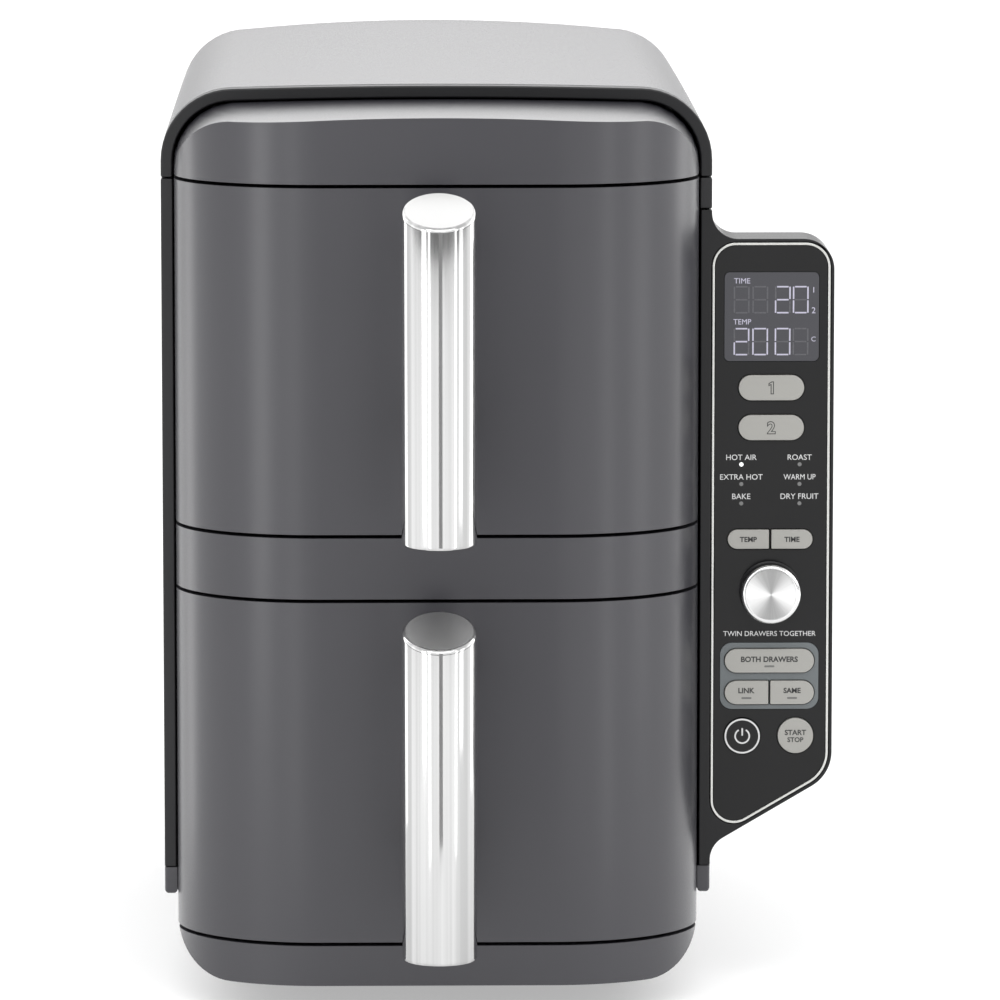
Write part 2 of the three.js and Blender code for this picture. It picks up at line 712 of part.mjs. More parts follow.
// ---- Control wing ----
const WING_CORNERS = [
  [WING_LEFT, WING_STRIP[0], 0],
  [SHELL_HALF, WING_STRIP[0], 0],
  [SHELL_HALF, 61.6, 11],
  [WING_RIGHT, 61.6 + (WING_RIGHT - SHELL_HALF) * WING_SLANT, 17],
  [WING_RIGHT, WING_TOP, 13],
  [SHELL_HALF, WING_TOP, 11],
  [SHELL_HALF, WING_STRIP[1], 0],
  [WING_LEFT, WING_STRIP[1], 0],
];

// The outline of the trim, glass and pocket: the wing without its strip and its hollow corners.
const FACE_CORNERS = [
  [SHELL_HALF - 1.5, 60.9, 11.5],
  [WING_RIGHT, 61.6 + (WING_RIGHT - SHELL_HALF) * WING_SLANT, 17],
  [WING_RIGHT, WING_TOP, 12],
  [SHELL_HALF - 1.5, WING_TOP, 11.5],
];

function face(inset, span, curveSegments = 5) {
  return prismY(roundedOutline(FACE_CORNERS, inset), span, curveSegments);
}

function wingHousing() {
  const outer = prismY(roundedOutline(WING_CORNERS), [WING_FRONT, WING_DEPTH], 5);
  const ledge = face(WING_TRIM_EDGE - GAP, [-5, LEDGE_Y]);
  const pocket = face(5, [-5, POCKET_BACK]);
  const posts = [
    [124, 302],
    [156, 302],
    [124, 92],
    [157, 120],
  ].map(([x, z]) => barY(x, z, 2.4, [BOARD_Y[1] + GAP, POCKET_BACK + 1], 10));
  return join(cut(outer, ledge, pocket), ...posts);
}

function wingTrim() {
  return cut(face(WING_TRIM_EDGE, GLASS_Y), face(WING_TRIM_EDGE + TRIM_WIDTH, [-5, 5]));
}

// radius half the height makes the ends round; pairs of buttons keep one square end where they meet.
function pillOutline(name) {
  const [x, z, width, height] = PILLS[name];
  const round = height / 2 - 0.01;
  const [left, right, low, high] = [x - width / 2, x + width / 2, z - height / 2, z + height / 2];
  const leftRound = name === "time_button" || name === "match_button" ? 0.4 : round;
  const rightRound = name === "temp_button" || name === "sync_button" ? 0.4 : round;
  return [
    [left, low, leftRound],
    [right, low, rightRound],
    [right, high, rightRound],
    [left, high, leftRound],
  ];
}

function buttonHoles(names, span) {
  return names.map((name) => {
    const hole = roundedOutline(pillOutline(name), -BUTTON_TRAVEL_GAP);
    return prismY(hole, span, PILL_STEPS);
  });
}

const BACKED = ["both_drawers_button", "sync_button", "match_button"];

function wingGlass() {
  const through = [-5, 5];
  const plain = Object.keys(PILLS).filter((name) => !BACKED.includes(name));
  const discs = Object.values(DISCS).map(([x, z, radius]) =>
    barY(x, z, radius + BUTTON_TRAVEL_GAP, through, DISC_SIDES),
  );
  return cut(
    face(WING_TRIM_EDGE + TRIM_WIDTH + GAP, GLASS_Y),
    prismY(roundedOutline(centredRectangle(DISPLAY, 2.2), -GAP), through, 3),
    prismY(roundedOutline(centredRectangle(BACKING, 5), -GAP), through, 4),
    barY(...DIAL, DIAL_STEM + 1.3, through, 16),
    ...buttonHoles(plain, through),
    ...discs,
  );
}

function displayWindow() {
  return prismY(roundedOutline(centredRectangle(DISPLAY, 2.2)), [GLASS_Y[0], BOARD_Y[0] - GAP], 3);
}

function backingPlate() {
  const plate = prismY(roundedOutline(centredRectangle(BACKING, 5)), GLASS_Y, 4);
  return cut(plate, ...buttonHoles(BACKED, [-5, 5]));
}

function controlBoard() {
  return face(6.5, BOARD_Y, 3);
}

function pillButton(name) {
  return prismY(roundedOutline(pillOutline(name)), [BUTTON_FRONT, BUTTON_BACK], PILL_STEPS);
}

function discButton(name) {
  const [x, z, radius] = DISCS[name];
  return barY(x, z, radius, [BUTTON_FRONT, BUTTON_BACK], DISC_SIDES);
}

function dialEncoder() {
  const [x, z] = DIAL;
  const body = block([x - 6, x + 6], [1.8, BOARD_Y[0] - GAP], [z - 6, z + 6]);
  return cut(body, barY(x, z, DIAL_STEM + GAP, [0, BOARD_Y[0] - 1], 16));
}

function dialKnob() {
  const [x, z] = DIAL;
  const profile = [
    [0, DIAL_FRONT],
    [DIAL_RADIUS - 1, DIAL_FRONT],
    [DIAL_RADIUS, DIAL_FRONT + 1],
    [DIAL_RADIUS, -2.4],
    [DIAL_SKIRT, -2.2],
    [DIAL_SKIRT, GLASS_Y[0] - GAP],
    [DIAL_STEM, GLASS_Y[0] - GAP],
    [DIAL_STEM, 4.8],
    [0, 4.8],
  ].map(([r, y]) => new THREE.Vector2(r, y));
  const knob = new THREE.LatheGeometry(profile, 32);
  knob.translate(x, 0, z);
  return solid(knob);
}

// ---- Materials ----
function finish(color, roughness, metalness = 0) {
  return () => new THREE.MeshStandardMaterial({ color, roughness, metalness });
}

const darkGrey = finish(0x57565b, 0.42);
const blackPlastic = finish(0x242426, 0.5);
const glossBlack = finish(0x141416, 0.12);
const brushedMetal = finish(0xd4d4d2, 0.22, 1);
const steel = finish(0xa8a8a6, 0.35, 1);
const nonStick = finish(0x2b2b2d, 0.45, 0.1);
const rubber = finish(0x1b1b1c, 0.85);
const paleGrey = finish(0xacaca6, 0.5);
const slateGrey = finish(0x69707a, 0.5);
const circuit = finish(0x1f5a3a, 0.6);
const displayGlass = finish(0x35363c, 0.1);
const castMetal = finish(0x77787a, 0.5, 0.8);

// ---- Assembly ----
const group = new THREE.Group();

function add(name, body, material) {
  const out = body.getMesh();
  const geometry = new THREE.BufferGeometry();
  geometry.setAttribute("position", new THREE.BufferAttribute(out.vertProperties, 3));
  geometry.setIndex(new THREE.BufferAttribute(out.triVerts, 1));
  geometry.computeVertexNormals();
  const mesh = new THREE.Mesh(geometry, material());
  mesh.name = name;
  group.add(mesh);
}

add("top_cover", topCover(), darkGrey);
add("front_rim", frontRim(), blackPlastic);
add("side_panel_left", sidePanel(-1), blackPlastic);
add("side_panel_right", sidePanel(1), blackPlastic);
add("back_cover", backCover(), blackPlastic);
add("base_tray", baseTray(), darkGrey);
add("front_frame", frontFrame(), blackPlastic);
add("top_fascia", topFascia(), darkGrey);
add("middle_fascia", middleFascia(), darkGrey);
add("bottom_fascia", bottomFascia(), darkGrey);
add("bay_divider", bayDivider(), steel);
add("power_board", powerBoard(), circuit);
add("cord_inlet", cordInlet(), rubber);
for (const [place, y] of [["front", 26], ["rear", 322]]) {
  add(`foot_${place}_left`, foot(-80, y), rubber);
  add(`foot_${place}_right`, foot(80, y), rubber);
}

for (const bay of BAYS) {
  add(`${bay.name}_cavity_liner`, cavityLiner(bay), steel);
  add(`${bay.name}_heating_element`, heatingElement(bay), castMetal);
  add(`${bay.name}_fan_guard`, fanGuard(bay), steel);
  add(`${bay.name}_fan`, fan(bay), steel);
  add(`${bay.name}_fan_shaft`, fanShaft(bay), castMetal);
  add(`${bay.name}_fan_motor`, fanMotor(bay), castMetal);
  add(`${bay.name}_drawer_front`, drawerFront(bay), darkGrey);
  add(`${bay.name}_inner_panel`, innerPanel(bay), blackPlastic);
  add(`${bay.name}_basket`, basket(bay), nonStick);
  add(`${bay.name}_crisper_plate`, crisperPlate(bay), nonStick);
  add(`${bay.name}_handle_bar`, handleBar(bay), brushedMetal);
  add(`${bay.name}_handle_mount`, handleMount(bay), blackPlastic);
}

add("control_housing", wingHousing(), blackPlastic);
add("control_trim", wingTrim(), brushedMetal);
add("control_face", wingGlass(), glossBlack);
add("control_board", controlBoard(), circuit);
add("display_window", displayWindow(), displayGlass);
add("backing_plate", backingPlate(), slateGrey);
add("dial_encoder", dialEncoder(), castMetal);
add("dial_knob", dialKnob(), brushedMetal);
Object.keys(PILLS).forEach((name) => add(name, pillButton(name), paleGrey));
add("power_button", discButton("power_button"), glossBlack);
add("start_stop_button", discButton("start_stop_button"), paleGrey);

// The origin goes under the middle of the bounding box, on the worktop.
const box = new THREE.Box3().setFromObject(group);
const middle = box.getCenter(new THREE.Vector3());
group.position.set(-middle.x, -middle.y, 0);

export default group;
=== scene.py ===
"""An upright air fryer with two stacked drawers: its looks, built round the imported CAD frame.

Shapes are made in a working frame in millimetres: X = 0 in the middle of the cabinet, Y = 0 at the
front rim, Z = 0 on the worktop. mesh_object() turns them into metres in the frame's own coordinates.
"""

import json
import math

import bmesh
import bpy
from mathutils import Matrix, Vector

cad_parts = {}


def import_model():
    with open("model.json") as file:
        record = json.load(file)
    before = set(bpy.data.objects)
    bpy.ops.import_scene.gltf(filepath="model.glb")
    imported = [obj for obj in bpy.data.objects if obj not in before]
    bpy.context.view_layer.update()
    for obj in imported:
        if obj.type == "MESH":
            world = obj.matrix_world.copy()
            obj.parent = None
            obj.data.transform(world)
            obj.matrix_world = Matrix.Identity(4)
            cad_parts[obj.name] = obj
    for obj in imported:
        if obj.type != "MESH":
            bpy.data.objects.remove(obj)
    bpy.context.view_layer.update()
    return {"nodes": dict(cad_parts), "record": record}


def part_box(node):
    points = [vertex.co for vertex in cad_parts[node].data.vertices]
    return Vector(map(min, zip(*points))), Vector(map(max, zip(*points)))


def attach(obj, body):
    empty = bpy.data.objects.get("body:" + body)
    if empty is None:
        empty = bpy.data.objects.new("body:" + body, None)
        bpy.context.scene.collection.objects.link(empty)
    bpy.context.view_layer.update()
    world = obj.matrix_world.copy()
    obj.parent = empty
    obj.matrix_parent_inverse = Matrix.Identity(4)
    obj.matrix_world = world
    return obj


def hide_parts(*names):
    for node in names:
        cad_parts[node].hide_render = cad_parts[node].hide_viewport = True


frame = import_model()
nodes = frame["nodes"]

# ---- Working frame ----
MM = 0.001
rim_low, rim_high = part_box("front_rim")
ORIGIN = Vector(((rim_low.x + rim_high.x) / 2, rim_low.y, 0.0))


def world(point):
    return Vector(point) * MM + ORIGIN


def span(node):
    """A CAD node's (x0, x1), (y0, y1), (z0, z1), in millimetres in the working frame."""
    low, high = ((corner - ORIGIN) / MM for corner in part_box(node))
    return tuple(zip(low, high))


# ---- Driving dimensions ----
(_, SHELL_HALF), _, (_, SHELL_TOP) = span("front_rim")
SHELL_CORNER = 30
SHELL_WALL = 2.5
CROWN_FRONT = 2.2  # fall of the top from its middle to its sides, at the rim
CROWN_REAR = 7.8  # the same, at the back
DOME_RISE = 3.1
SHELL_TAPER = 1.3
REAR = span("back_cover")[1][1]
REAR_ROUND = 22
REAR_TURN = REAR - REAR_ROUND  # where the rounding to the back starts
RIM_FACE = 5

BOW_FLAT = 49
FRONT_HALF = span("upper_drawer_front")[0][1]
BOW_SIDE = FRONT_HALF - BOW_FLAT
BOW_DEPTH = -span("upper_drawer_front")[1][0]
FRONT_WALL = 3
FASCIA_TOP = 376.8
FASCIA_SLOPE = 3.4
FASCIA_TAPER = 4
FASCIA_CORNER = 26.5  # at the rim
FASCIA_FRONT_CORNER = 22
FASCIA_FRONT_CROWN = 5
BODY_LOW = span("base_tray")[2][0]
BASE_CORNER = 22
BASE_WALL_TOP = 70  # above the tray, where its section is cut off
BAND_LOW = 41.5  # lower edge of the base tray's band, which carries the side panels
BAND_ROUND = 2

HANDLE_Y = -95
HANDLE_RADIUS = span("upper_handle_bar")[0][1]
HANDLE_ROUND = 1.5
HANDLE_FALL = 12.6  # from the back of the slanted top to its front

BAYS = ("upper", "lower")


# ---- Outlines ----
def arc(centre, radius, start, end, steps):
    """Points on an arc from start to end, in degrees, both ends included."""
    angles = [math.radians(start + (end - start) * i / steps) for i in range(steps + 1)]
    return [(centre[0] + radius * math.cos(a), centre[1] + radius * math.sin(a)) for a in angles]


def rounded(corners, inset=0.0, step=7.5):
    """A closed outline through (a, b, radius) corners, anticlockwise, moved inwards by inset."""
    count = len(corners)
    edges = []
    for i, (a, b, _) in enumerate(corners):
        c, d, _ = corners[(i + 1) % count]
        along = Vector((c - a, d - b)).normalized()
        inward = Vector((-along.y, along.x))
        edges.append((along, Vector((a, b)) + inward * inset))
    points = []
    for i, (_, _, radius) in enumerate(corners):
        before, start = edges[i - 1]
        after, next_start = edges[i]
        turn = before.x * after.y - before.y * after.x
        gap = next_start - start
        reach = (gap.x * after.y - gap.y * after.x) / turn
        corner = start + before * reach
        sign = 1 if turn > 0 else -1
        bend = max(radius - sign * inset, 0.05) if radius else 0
        if not bend:
            points.append(tuple(corner))
            continue
        half = math.acos(max(-1, min(1, before.dot(after)))) / 2
        enter = corner - before * bend * math.tan(half)
        centre = enter + Vector((-before.y, before.x)) * sign * bend
        angle = math.degrees(math.atan2(enter.y - centre.y, enter.x - centre.x))
        sweep = sign * math.degrees(2 * half)
        steps = max(2, round(abs(sweep) / step))
        points += arc(centre, bend, angle, angle + sweep, steps)
    return points


def circle(centre, radius, steps=64):
    turn = [2 * math.pi * i / steps for i in range(steps)]
    return [(centre[0] + radius * math.cos(t), centre[1] + radius * math.sin(t)) for t in turn]


def quarter_turn(steps):
    """(sine, cosine) of the angles from 0 to 90 degrees, both ends included."""
    angles = [math.pi / 2 * i / steps for i in range(steps + 1)]
    return [(math.sin(a), math.cos(a)) for a in angles]


def rectangle(a, b, radius):
    return [(a[0], b[0], radius), (a[1], b[0], radius), (a[1], b[1], radius), (a[0], b[1], radius)]


def grown(interval, amount):
    return (interval[0] - amount, interval[1] + amount)


def around(value, reach):
    return (value - reach, value + reach)


def middle(interval):
    return (interval[0] + interval[1]) / 2


# ---- Meshes ----
def build_mesh(name, points, faces):
    mesh = bpy.data.meshes.new(name)
    mesh.from_pydata([tuple(world(p)) for p in points], [], faces)
    bm = bmesh.new()
    bm.from_mesh(mesh)
    bmesh.ops.remove_doubles(bm, verts=bm.verts, dist=1e-6)
    bmesh.ops.recalc_face_normals(bm, faces=bm.faces)
    bm.to_mesh(mesh)
    bm.free()
    return mesh


def linked(name, data):
    """A new object that holds data, in the scene."""
    obj = bpy.data.objects.new(name, data)
    bpy.context.scene.collection.objects.link(obj)
    return obj


def mesh_object(name, points, faces):
    return linked(name, build_mesh(name, points, faces))


def rings(loops, close_start=True, close_end=True):
    """Vertices and faces of a skin over closed loops with equal counts of points."""
    count = len(loops[0])
    points = [p for loop in loops for p in loop]
    faces = []
    for r in range(len(loops) - 1):
        for i in range(count):
            j = (i + 1) % count
            a, b = r * count, (r + 1) * count
            faces.append((a + i, a + j, b + j, b + i))
    if close_start:
        faces.append(tuple(reversed(range(count))))
    if close_end:
        faces.append(tuple(range(len(points) - count, len(points))))
    return points, faces


def grid(rows):
    """Vertices and faces of an open skin over rows with equal counts of points."""
    count = len(rows[0])
    points = [p for row in rows for p in row]
    faces = []
    for r in range(len(rows) - 1):
        for i in range(count - 1):
            a, b = r * count + i, (r + 1) * count + i
            faces.append((a, a + 1, b + 1, b))
    return points, faces


def merged(*skins):
    """Several (points, faces) skins as one."""
    points, faces = [], []
    for more_points, more_faces in skins:
        start = len(points)
        points += more_points
        faces += [tuple(start + i for i in face) for face in more_faces]
    return points, faces


def prism_y(outline, y):
    return rings([[(a, y[0], b) for a, b in outline], [(a, y[1], b) for a, b in outline]])


def prism_z(outline, z):
    return rings([[(a, b, z[0]) for a, b in outline], [(a, b, z[1]) for a, b in outline]])


def box_skin(x, y, z):
    return prism_z([(x[0], y[0]), (x[1], y[0]), (x[1], y[1]), (x[0], y[1])], z)


def lathe_y(profile, centre, sides):
    """A profile of (radius, y) turned about the line along Y through centre = (x, z)."""
    return rings([[(a, y, b) for a, b in circle(centre, radius, sides)] for radius, y in profile])


def lathe_z(profile, centre, sides):
    """A profile of (radius, z) turned about the upright line through centre = (x, y)."""
    return rings([[(a, b, z) for a, b in circle(centre, radius, sides)] for radius, z in profile])


def apply_modifiers(obj):
    graph = bpy.context.evaluated_depsgraph_get()
    mesh = bpy.data.meshes.new_from_object(obj.evaluated_get(graph))
    obj.modifiers.clear()
    old = obj.data
    obj.data = mesh
    bpy.data.meshes.remove(old)


def carve(obj, *skins, operation="DIFFERENCE"):
    """Cuts skins out of obj, keeps what it shares with them or joins them to it, and applies the result."""
    tools = [mesh_object("tool", *skin) for skin in skins]
    for tool in tools:
        modifier = obj.modifiers.new("carve", "BOOLEAN")
        modifier.operation = operation
        modifier.solver = "EXACT"
        modifier.object = tool
    apply_modifiers(obj)
    for tool in tools:
        mesh = tool.data
        bpy.data.objects.remove(tool)
        bpy.data.meshes.remove(mesh)


def tidy_mesh(obj):
    """Joins the slivers that a cut leaves on flat faces, and welds points that meet."""
    bm = bmesh.new()
    bm.from_mesh(obj.data)
    bmesh.ops.remove_doubles(bm, verts=bm.verts, dist=2e-5)
    bmesh.ops.dissolve_limit(bm, angle_limit=math.radians(0.5), verts=bm.verts, edges=bm.edges)
    bm.to_mesh(obj.data)
    bm.free()


def soften(obj, width, segments=3):
    """Rounds the sharp edges, and shades the rest smooth."""
    obj.data.shade_smooth()
    modifier = obj.modifiers.new("rounded_edges", "BEVEL")
    modifier.width = width * MM
    modifier.segments = segments
    modifier.limit_method = "ANGLE"
    modifier.angle_limit = math.radians(32)
    modifier.harden_normals = True
    modifier.miter_outer = "MITER_ARC"


def crisp(obj, angle):
    """Shades smooth up to the edges sharper than angle, in degrees."""
    obj.data.shade_smooth()
    obj.data.set_sharp_from_angle(angle=math.radians(angle))


def finish_piece(obj, body, material, slot, *replaces):
    obj.data.materials.clear()
    obj.data.materials.append(material)
    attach(obj, body)
    if replaces:
        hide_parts(*replaces)


def cut_piece(name, skin, cuts, rounding, body, material, slot, node):
    """A skin with cuts in it and rounded edges, in the place of a node."""
    piece = mesh_object(name, *skin)
    if cuts:
        carve(piece, *cuts)
        tidy_mesh(piece)
    soften(piece, *rounding)
    finish_piece(piece, body, material, slot, node)


# ---- Materials ----
def noise(tree, vector, scale, detail):
    node = tree.nodes.new("ShaderNodeTexNoise")
    node.inputs["Scale"].default_value = scale
    node.inputs["Detail"].default_value = detail
    tree.links.new(vector, node.inputs["Vector"])
    return node.outputs["Fac"]


def object_noise(tree, scale, detail=2.0, stretch=(1, 1, 1)):
    """A noise in object space: scale is in cycles per metre, and stretch slows it along an axis."""
    coordinates = tree.nodes.new("ShaderNodeTexCoord")
    mapping = tree.nodes.new("ShaderNodeMapping")
    mapping.inputs["Scale"].default_value = stretch
    tree.links.new(coordinates.outputs["Object"], mapping.inputs["Vector"])
    return noise(tree, mapping.outputs["Vector"], scale, detail)


def calculated(tree, kind, operation, *values):
    """The result of a Math or VectorMath node on values, each of them a socket or a plain value."""
    node = tree.nodes.new(f"ShaderNode{kind}")
    node.operation = operation
    for socket, value in zip(node.inputs, values):
        if isinstance(value, bpy.types.NodeSocket):
            tree.links.new(value, socket)
        else:
            socket.default_value = value
    return node.outputs[0]


def ramp(tree, source, low, high, start=0.3, end=0.7):
    """source's value from start to end, mapped on a grey or a colour from low to high."""
    node = tree.nodes.new("ShaderNodeValToRGB")
    for element, position, value in zip(node.color_ramp.elements, (start, end), (low, high)):
        element.position = position
        element.color = (*value, 1) if isinstance(value, tuple) else (value, value, value, 1)
    tree.links.new(source, node.inputs["Fac"])
    return node.outputs["Color"]


def bump(tree, shader, source, strength, distance):
    node = tree.nodes.new("ShaderNodeBump")
    node.inputs["Strength"].default_value = strength
    node.inputs["Distance"].default_value = distance * MM
    tree.links.new(source, node.inputs["Height"])
    tree.links.new(node.outputs["Normal"], shader.inputs["Normal"])


def scaled(colour, amount):
    return tuple(channel * amount for channel in colour)


def surface(name, colour, roughness, metallic=0.0, vary=0.06, rough_vary=0.05, grain=900,
            grain_depth=0.0, patch=14, stretch=(1, 1, 1), **sockets):
    """A shader with drifting colour, uneven gloss and a fine grain; grain_depth is in millimetres."""
    material = bpy.data.materials.new(name)
    material.use_nodes = True
    tree = material.node_tree
    shader = tree.nodes["Principled BSDF"]
    drift = object_noise(tree, patch)
    tree.links.new(ramp(tree, drift, scaled(colour, 1 - vary), scaled(colour, 1 + vary)),
                   shader.inputs["Base Color"])
    fine = object_noise(tree, grain, stretch=stretch)
    tree.links.new(ramp(tree, fine, roughness - rough_vary, roughness + rough_vary),
                   shader.inputs["Roughness"])
    shader.inputs["Metallic"].default_value = metallic
    for socket, value in sockets.items():
        shader.inputs[socket.replace("_", " ")].default_value = value
    if grain_depth:
        bump(tree, shader, fine, 0.6, grain_depth)
    return material


GREY = (0.031, 0.0302, 0.037)
paint = surface("satin_grey_paint", GREY, 0.5, vary=0.03, rough_vary=0.03, grain=1400,
                grain_depth=0.006, IOR=1.42, Coat_Weight=1.0, Coat_IOR=1.42, Coat_Roughness=0.27)
black = surface("moulded_black_plastic", (0.008, 0.008, 0.0092), 0.36, vary=0.08, grain=1800,
                grain_depth=0.012, IOR=1.42)
wing_black = surface("smooth_black_plastic", (0.011, 0.011, 0.012), 0.2, vary=0.06, rough_vary=0.03,
                     grain=900, grain_depth=0.002, IOR=1.33)
textured_black = surface("textured_black_plastic", (0.018, 0.018, 0.0195), 0.5, vary=0.08, grain=2200,
                         grain_depth=0.03, IOR=1.4)
gloss = surface("gloss_black_face", (0.008, 0.008, 0.0084), 0.16, vary=0.1, rough_vary=0.03, grain=700,
                IOR=1.33)
chrome = surface("polished_handle_metal", (0.58, 0.58, 0.575), 0.09, metallic=1.0, vary=0.01,
                 rough_vary=0.02, grain=500, grain_depth=0.002, stretch=(1, 1, 0.02))


def add_streaks(material, scale, low, high):
    """Upright streaks in a drawn metal's colour."""
    tree = material.node_tree
    streaks = object_noise(tree, scale, 3.0, (1, 1, 0.002))
    tree.links.new(ramp(tree, streaks, low, high, 0.38, 0.62),
                   tree.nodes["Principled BSDF"].inputs["Base Color"])


add_streaks(chrome, 230, 0.48, 0.66)
satin_chrome = surface("satin_handle_cap", (0.74, 0.74, 0.735), 0.36, metallic=1.0, vary=0.01,
                       rough_vary=0.03, grain=700, grain_depth=0.002)
spun = surface("spun_dial_metal", (0.7, 0.7, 0.7), 0.3, metallic=1.0, vary=0.01, rough_vary=0.02,
               Anisotropic=0.95, Anisotropic_Rotation=0.25)
tangent = spun.node_tree.nodes.new("ShaderNodeTangent")
tangent.direction_type = "RADIAL"
tangent.axis = "Y"
spun.node_tree.links.new(tangent.outputs["Tangent"],
                         spun.node_tree.nodes["Principled BSDF"].inputs["Tangent"])


def add_spin_streaks_and_painted_highlight(material, node):
    """Streaks that fan out from the middle of a turned face, and a painted highlight that makes the face
    lighter along X than along Z: the bow-tie that light makes on spun metal.
    """
    tree = material.node_tree
    centre = [(a + b) / 2 for a, b in zip(*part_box(node))]
    coordinates = tree.nodes.new("ShaderNodeTexCoord")
    centred = calculated(tree, "VectorMath", "SUBTRACT", coordinates.outputs["Object"], centre)
    flat = calculated(tree, "VectorMath", "MULTIPLY", centred, (1, 0, 1))
    direction = calculated(tree, "VectorMath", "NORMALIZE", flat)
    split = tree.nodes.new("ShaderNodeSeparateXYZ")
    tree.links.new(direction, split.inputs["Vector"])
    # Painted highlight: the square of X lightens the left and right of the dial face and darkens its top and
    # bottom.
    painted_highlight_along_x = calculated(tree, "Math", "MULTIPLY", split.outputs["X"], split.outputs["X"])
    streaks = noise(tree, direction, 18, 4)
    streaks_and_painted_highlight = calculated(tree, "Math", "MULTIPLY_ADD", streaks, 0.35, painted_highlight_along_x)
    tree.links.new(ramp(tree, streaks_and_painted_highlight, 0.33, 0.78, 0.1, 1.0),
                   tree.nodes["Principled BSDF"].inputs["Base Color"])


# The dial cap's colour carries a painted bow-tie highlight as well as its spin streaks.
add_spin_streaks_and_painted_highlight(spun, "dial_knob")
dial_edge = surface("bright_dial_edge", (0.72, 0.72, 0.72), 0.16, metallic=1.0, vary=0.01, rough_vary=0.03)
trim_metal = surface("silver_trim_metal", (0.6, 0.6, 0.58), 0.25, metallic=1.0, vary=0.02, rough_vary=0.03)
steel = surface("brushed_steel_sheet", (0.52, 0.52, 0.51), 0.34, metallic=1.0, vary=0.06, rough_vary=0.08,
                grain=600, grain_depth=0.006, stretch=(1, 0.04, 1))
heater = surface("heater_tube_metal", (0.2, 0.18, 0.17), 0.5, metallic=0.9, vary=0.25, patch=60,
                 grain_depth=0.01)
cast = surface("motor_metal", (0.3, 0.3, 0.31), 0.5, metallic=0.8, vary=0.15, patch=40, grain_depth=0.01)
ceramic = surface("ceramic_non_stick_coat", (0.035, 0.035, 0.038), 0.38, vary=0.12, rough_vary=0.07,
                  grain=2600, grain_depth=0.03, Coat_Weight=0.25, Coat_Roughness=0.2)
rubber = surface("matte_rubber", (0.012, 0.012, 0.013), 0.8, vary=0.15, grain=1500, grain_depth=0.03)
pale = surface("pale_grey_key_plastic", (0.33, 0.325, 0.305), 0.42, vary=0.02, grain=1600,
               grain_depth=0.008)
slate = surface("slate_grey_plate", (0.12, 0.134, 0.14), 0.34, vary=0.04, grain=1200, grain_depth=0.004)
glass = surface("display_window_glass", (0.04, 0.04, 0.048), 0.1, vary=0.03, rough_vary=0.02, grain=400)
board = surface("green_circuit_board", (0.02, 0.09, 0.045), 0.45, vary=0.2, patch=120, grain_depth=0.01)
white_ink = surface("white_ink", (0.62, 0.62, 0.62), 0.5, vary=0.04, grain=1500, grain_depth=0.002)
dark_ink = surface("dark_ink", (0.02, 0.02, 0.021), 0.5, vary=0.1, grain=1500, grain_depth=0.002)


def glowing(name, colour, strength):
    material = surface(name, scaled(colour, 0.6), 0.4, vary=0.05, patch=400)
    shader = material.node_tree.nodes["Principled BSDF"]
    shader.inputs["Emission Color"].default_value = (*colour, 1)
    shader.inputs["Emission Strength"].default_value = strength
    return material


segment_light = glowing("lit_display_segments", (0.62, 0.60, 0.74), 0.22)
lamp_light = glowing("lit_mode_lamp", (0.9, 0.9, 0.9), 0.8)
ghost = surface("unlit_display_segments", (0.085, 0.085, 0.095), 0.3, vary=0.05)
ghost_lamp = surface("unlit_mode_lamp", (0.16, 0.16, 0.16), 0.35, vary=0.05)
bar_lamp = surface("unlit_bar_lamp", (0.13, 0.13, 0.125), 0.4, vary=0.05)

NODE_MATERIALS = {
    "grey_painted_metal": paint, "grey_painted_plastic": paint, "black_plastic": black,
    "gloss_black": gloss, "handle_metal": chrome, "silver_trim": trim_metal, "steel_sheet": steel,
    "heater_tube": heater, "motor_metal": cast, "non_stick_coat": ceramic, "rubber": rubber,
    "pale_grey": pale, "slate_grey": slate, "display_glass": glass, "circuit_board": board,
}
record_slots = {row["node"]: row["material_slot"] for row in frame["record"]["subparts"]}
for node_name, node_object in nodes.items():
    node_object.data.materials.clear()
    node_object.data.materials.append(NODE_MATERIALS[record_slots[node_name]])


# ---- Cabinet shell ----
def arch(half, top, corner, bottom, crown):
    """The cabinet's cross-section as (x, z), from the right lower end over the top to the left."""
    steps, flats = 12, 16
    flat = half - corner
    centre = top - crown * (flat / half) ** 2 - corner
    points = [(half, bottom)] + arc((flat, centre), corner, 0, 90, steps)
    for i in range(1, flats):
        x = flat * (1 - 2 * i / flats)
        points.append((x, top - crown * (x / half) ** 2))
    return points + arc((-flat, centre), corner, 90, 180, steps) + [(-half, bottom)]


def rear_rounding(y):
    """How far the rounding to the back has drawn the shell in at depth y."""
    bend = min(max(y - REAR_TURN, 0) / REAR_ROUND, 1)
    return REAR_ROUND * (1 - math.sqrt(1 - bend * bend))


def shell_section(y, bottom, less=0.0):
    """The cabinet's outer section at depth y, made smaller by less."""
    share = y / REAR
    less += rear_rounding(y)
    half = SHELL_HALF - SHELL_TAPER * share - less
    top = SHELL_TOP + DOME_RISE * (1 - (1 - share) ** 2) - less
    crown = CROWN_FRONT + (CROWN_REAR - CROWN_FRONT) * share
    return arch(half, top, SHELL_CORNER - less, bottom, crown)


def sheet(obj, thickness):
    """Gives a skin its thickness, inwards."""
    modifier = obj.modifiers.new("sheet_thickness", "SOLIDIFY")
    modifier.thickness = thickness * MM
    modifier.offset = -1
    modifier.use_even_offset = True
    apply_modifiers(obj)


def stations(y0, y1, steps):
    return [y0 + (y1 - y0) * i / steps for i in range(steps + 1)]


def top_cover():
    _, (front, back), (low, _) = span("top_cover")
    ys = stations(front, REAR_TURN, 16) + stations(REAR_TURN, back, 4)[1:]
    rows = [[(x, y, z) for x, z in shell_section(y, low)] for y in ys]
    cover = mesh_object("top_cover_skin", *grid(rows))
    sheet(cover, SHELL_WALL)
    soften(cover, 0.7)
    finish_piece(cover, "cabinet", paint, "grey_painted_metal", "top_cover")


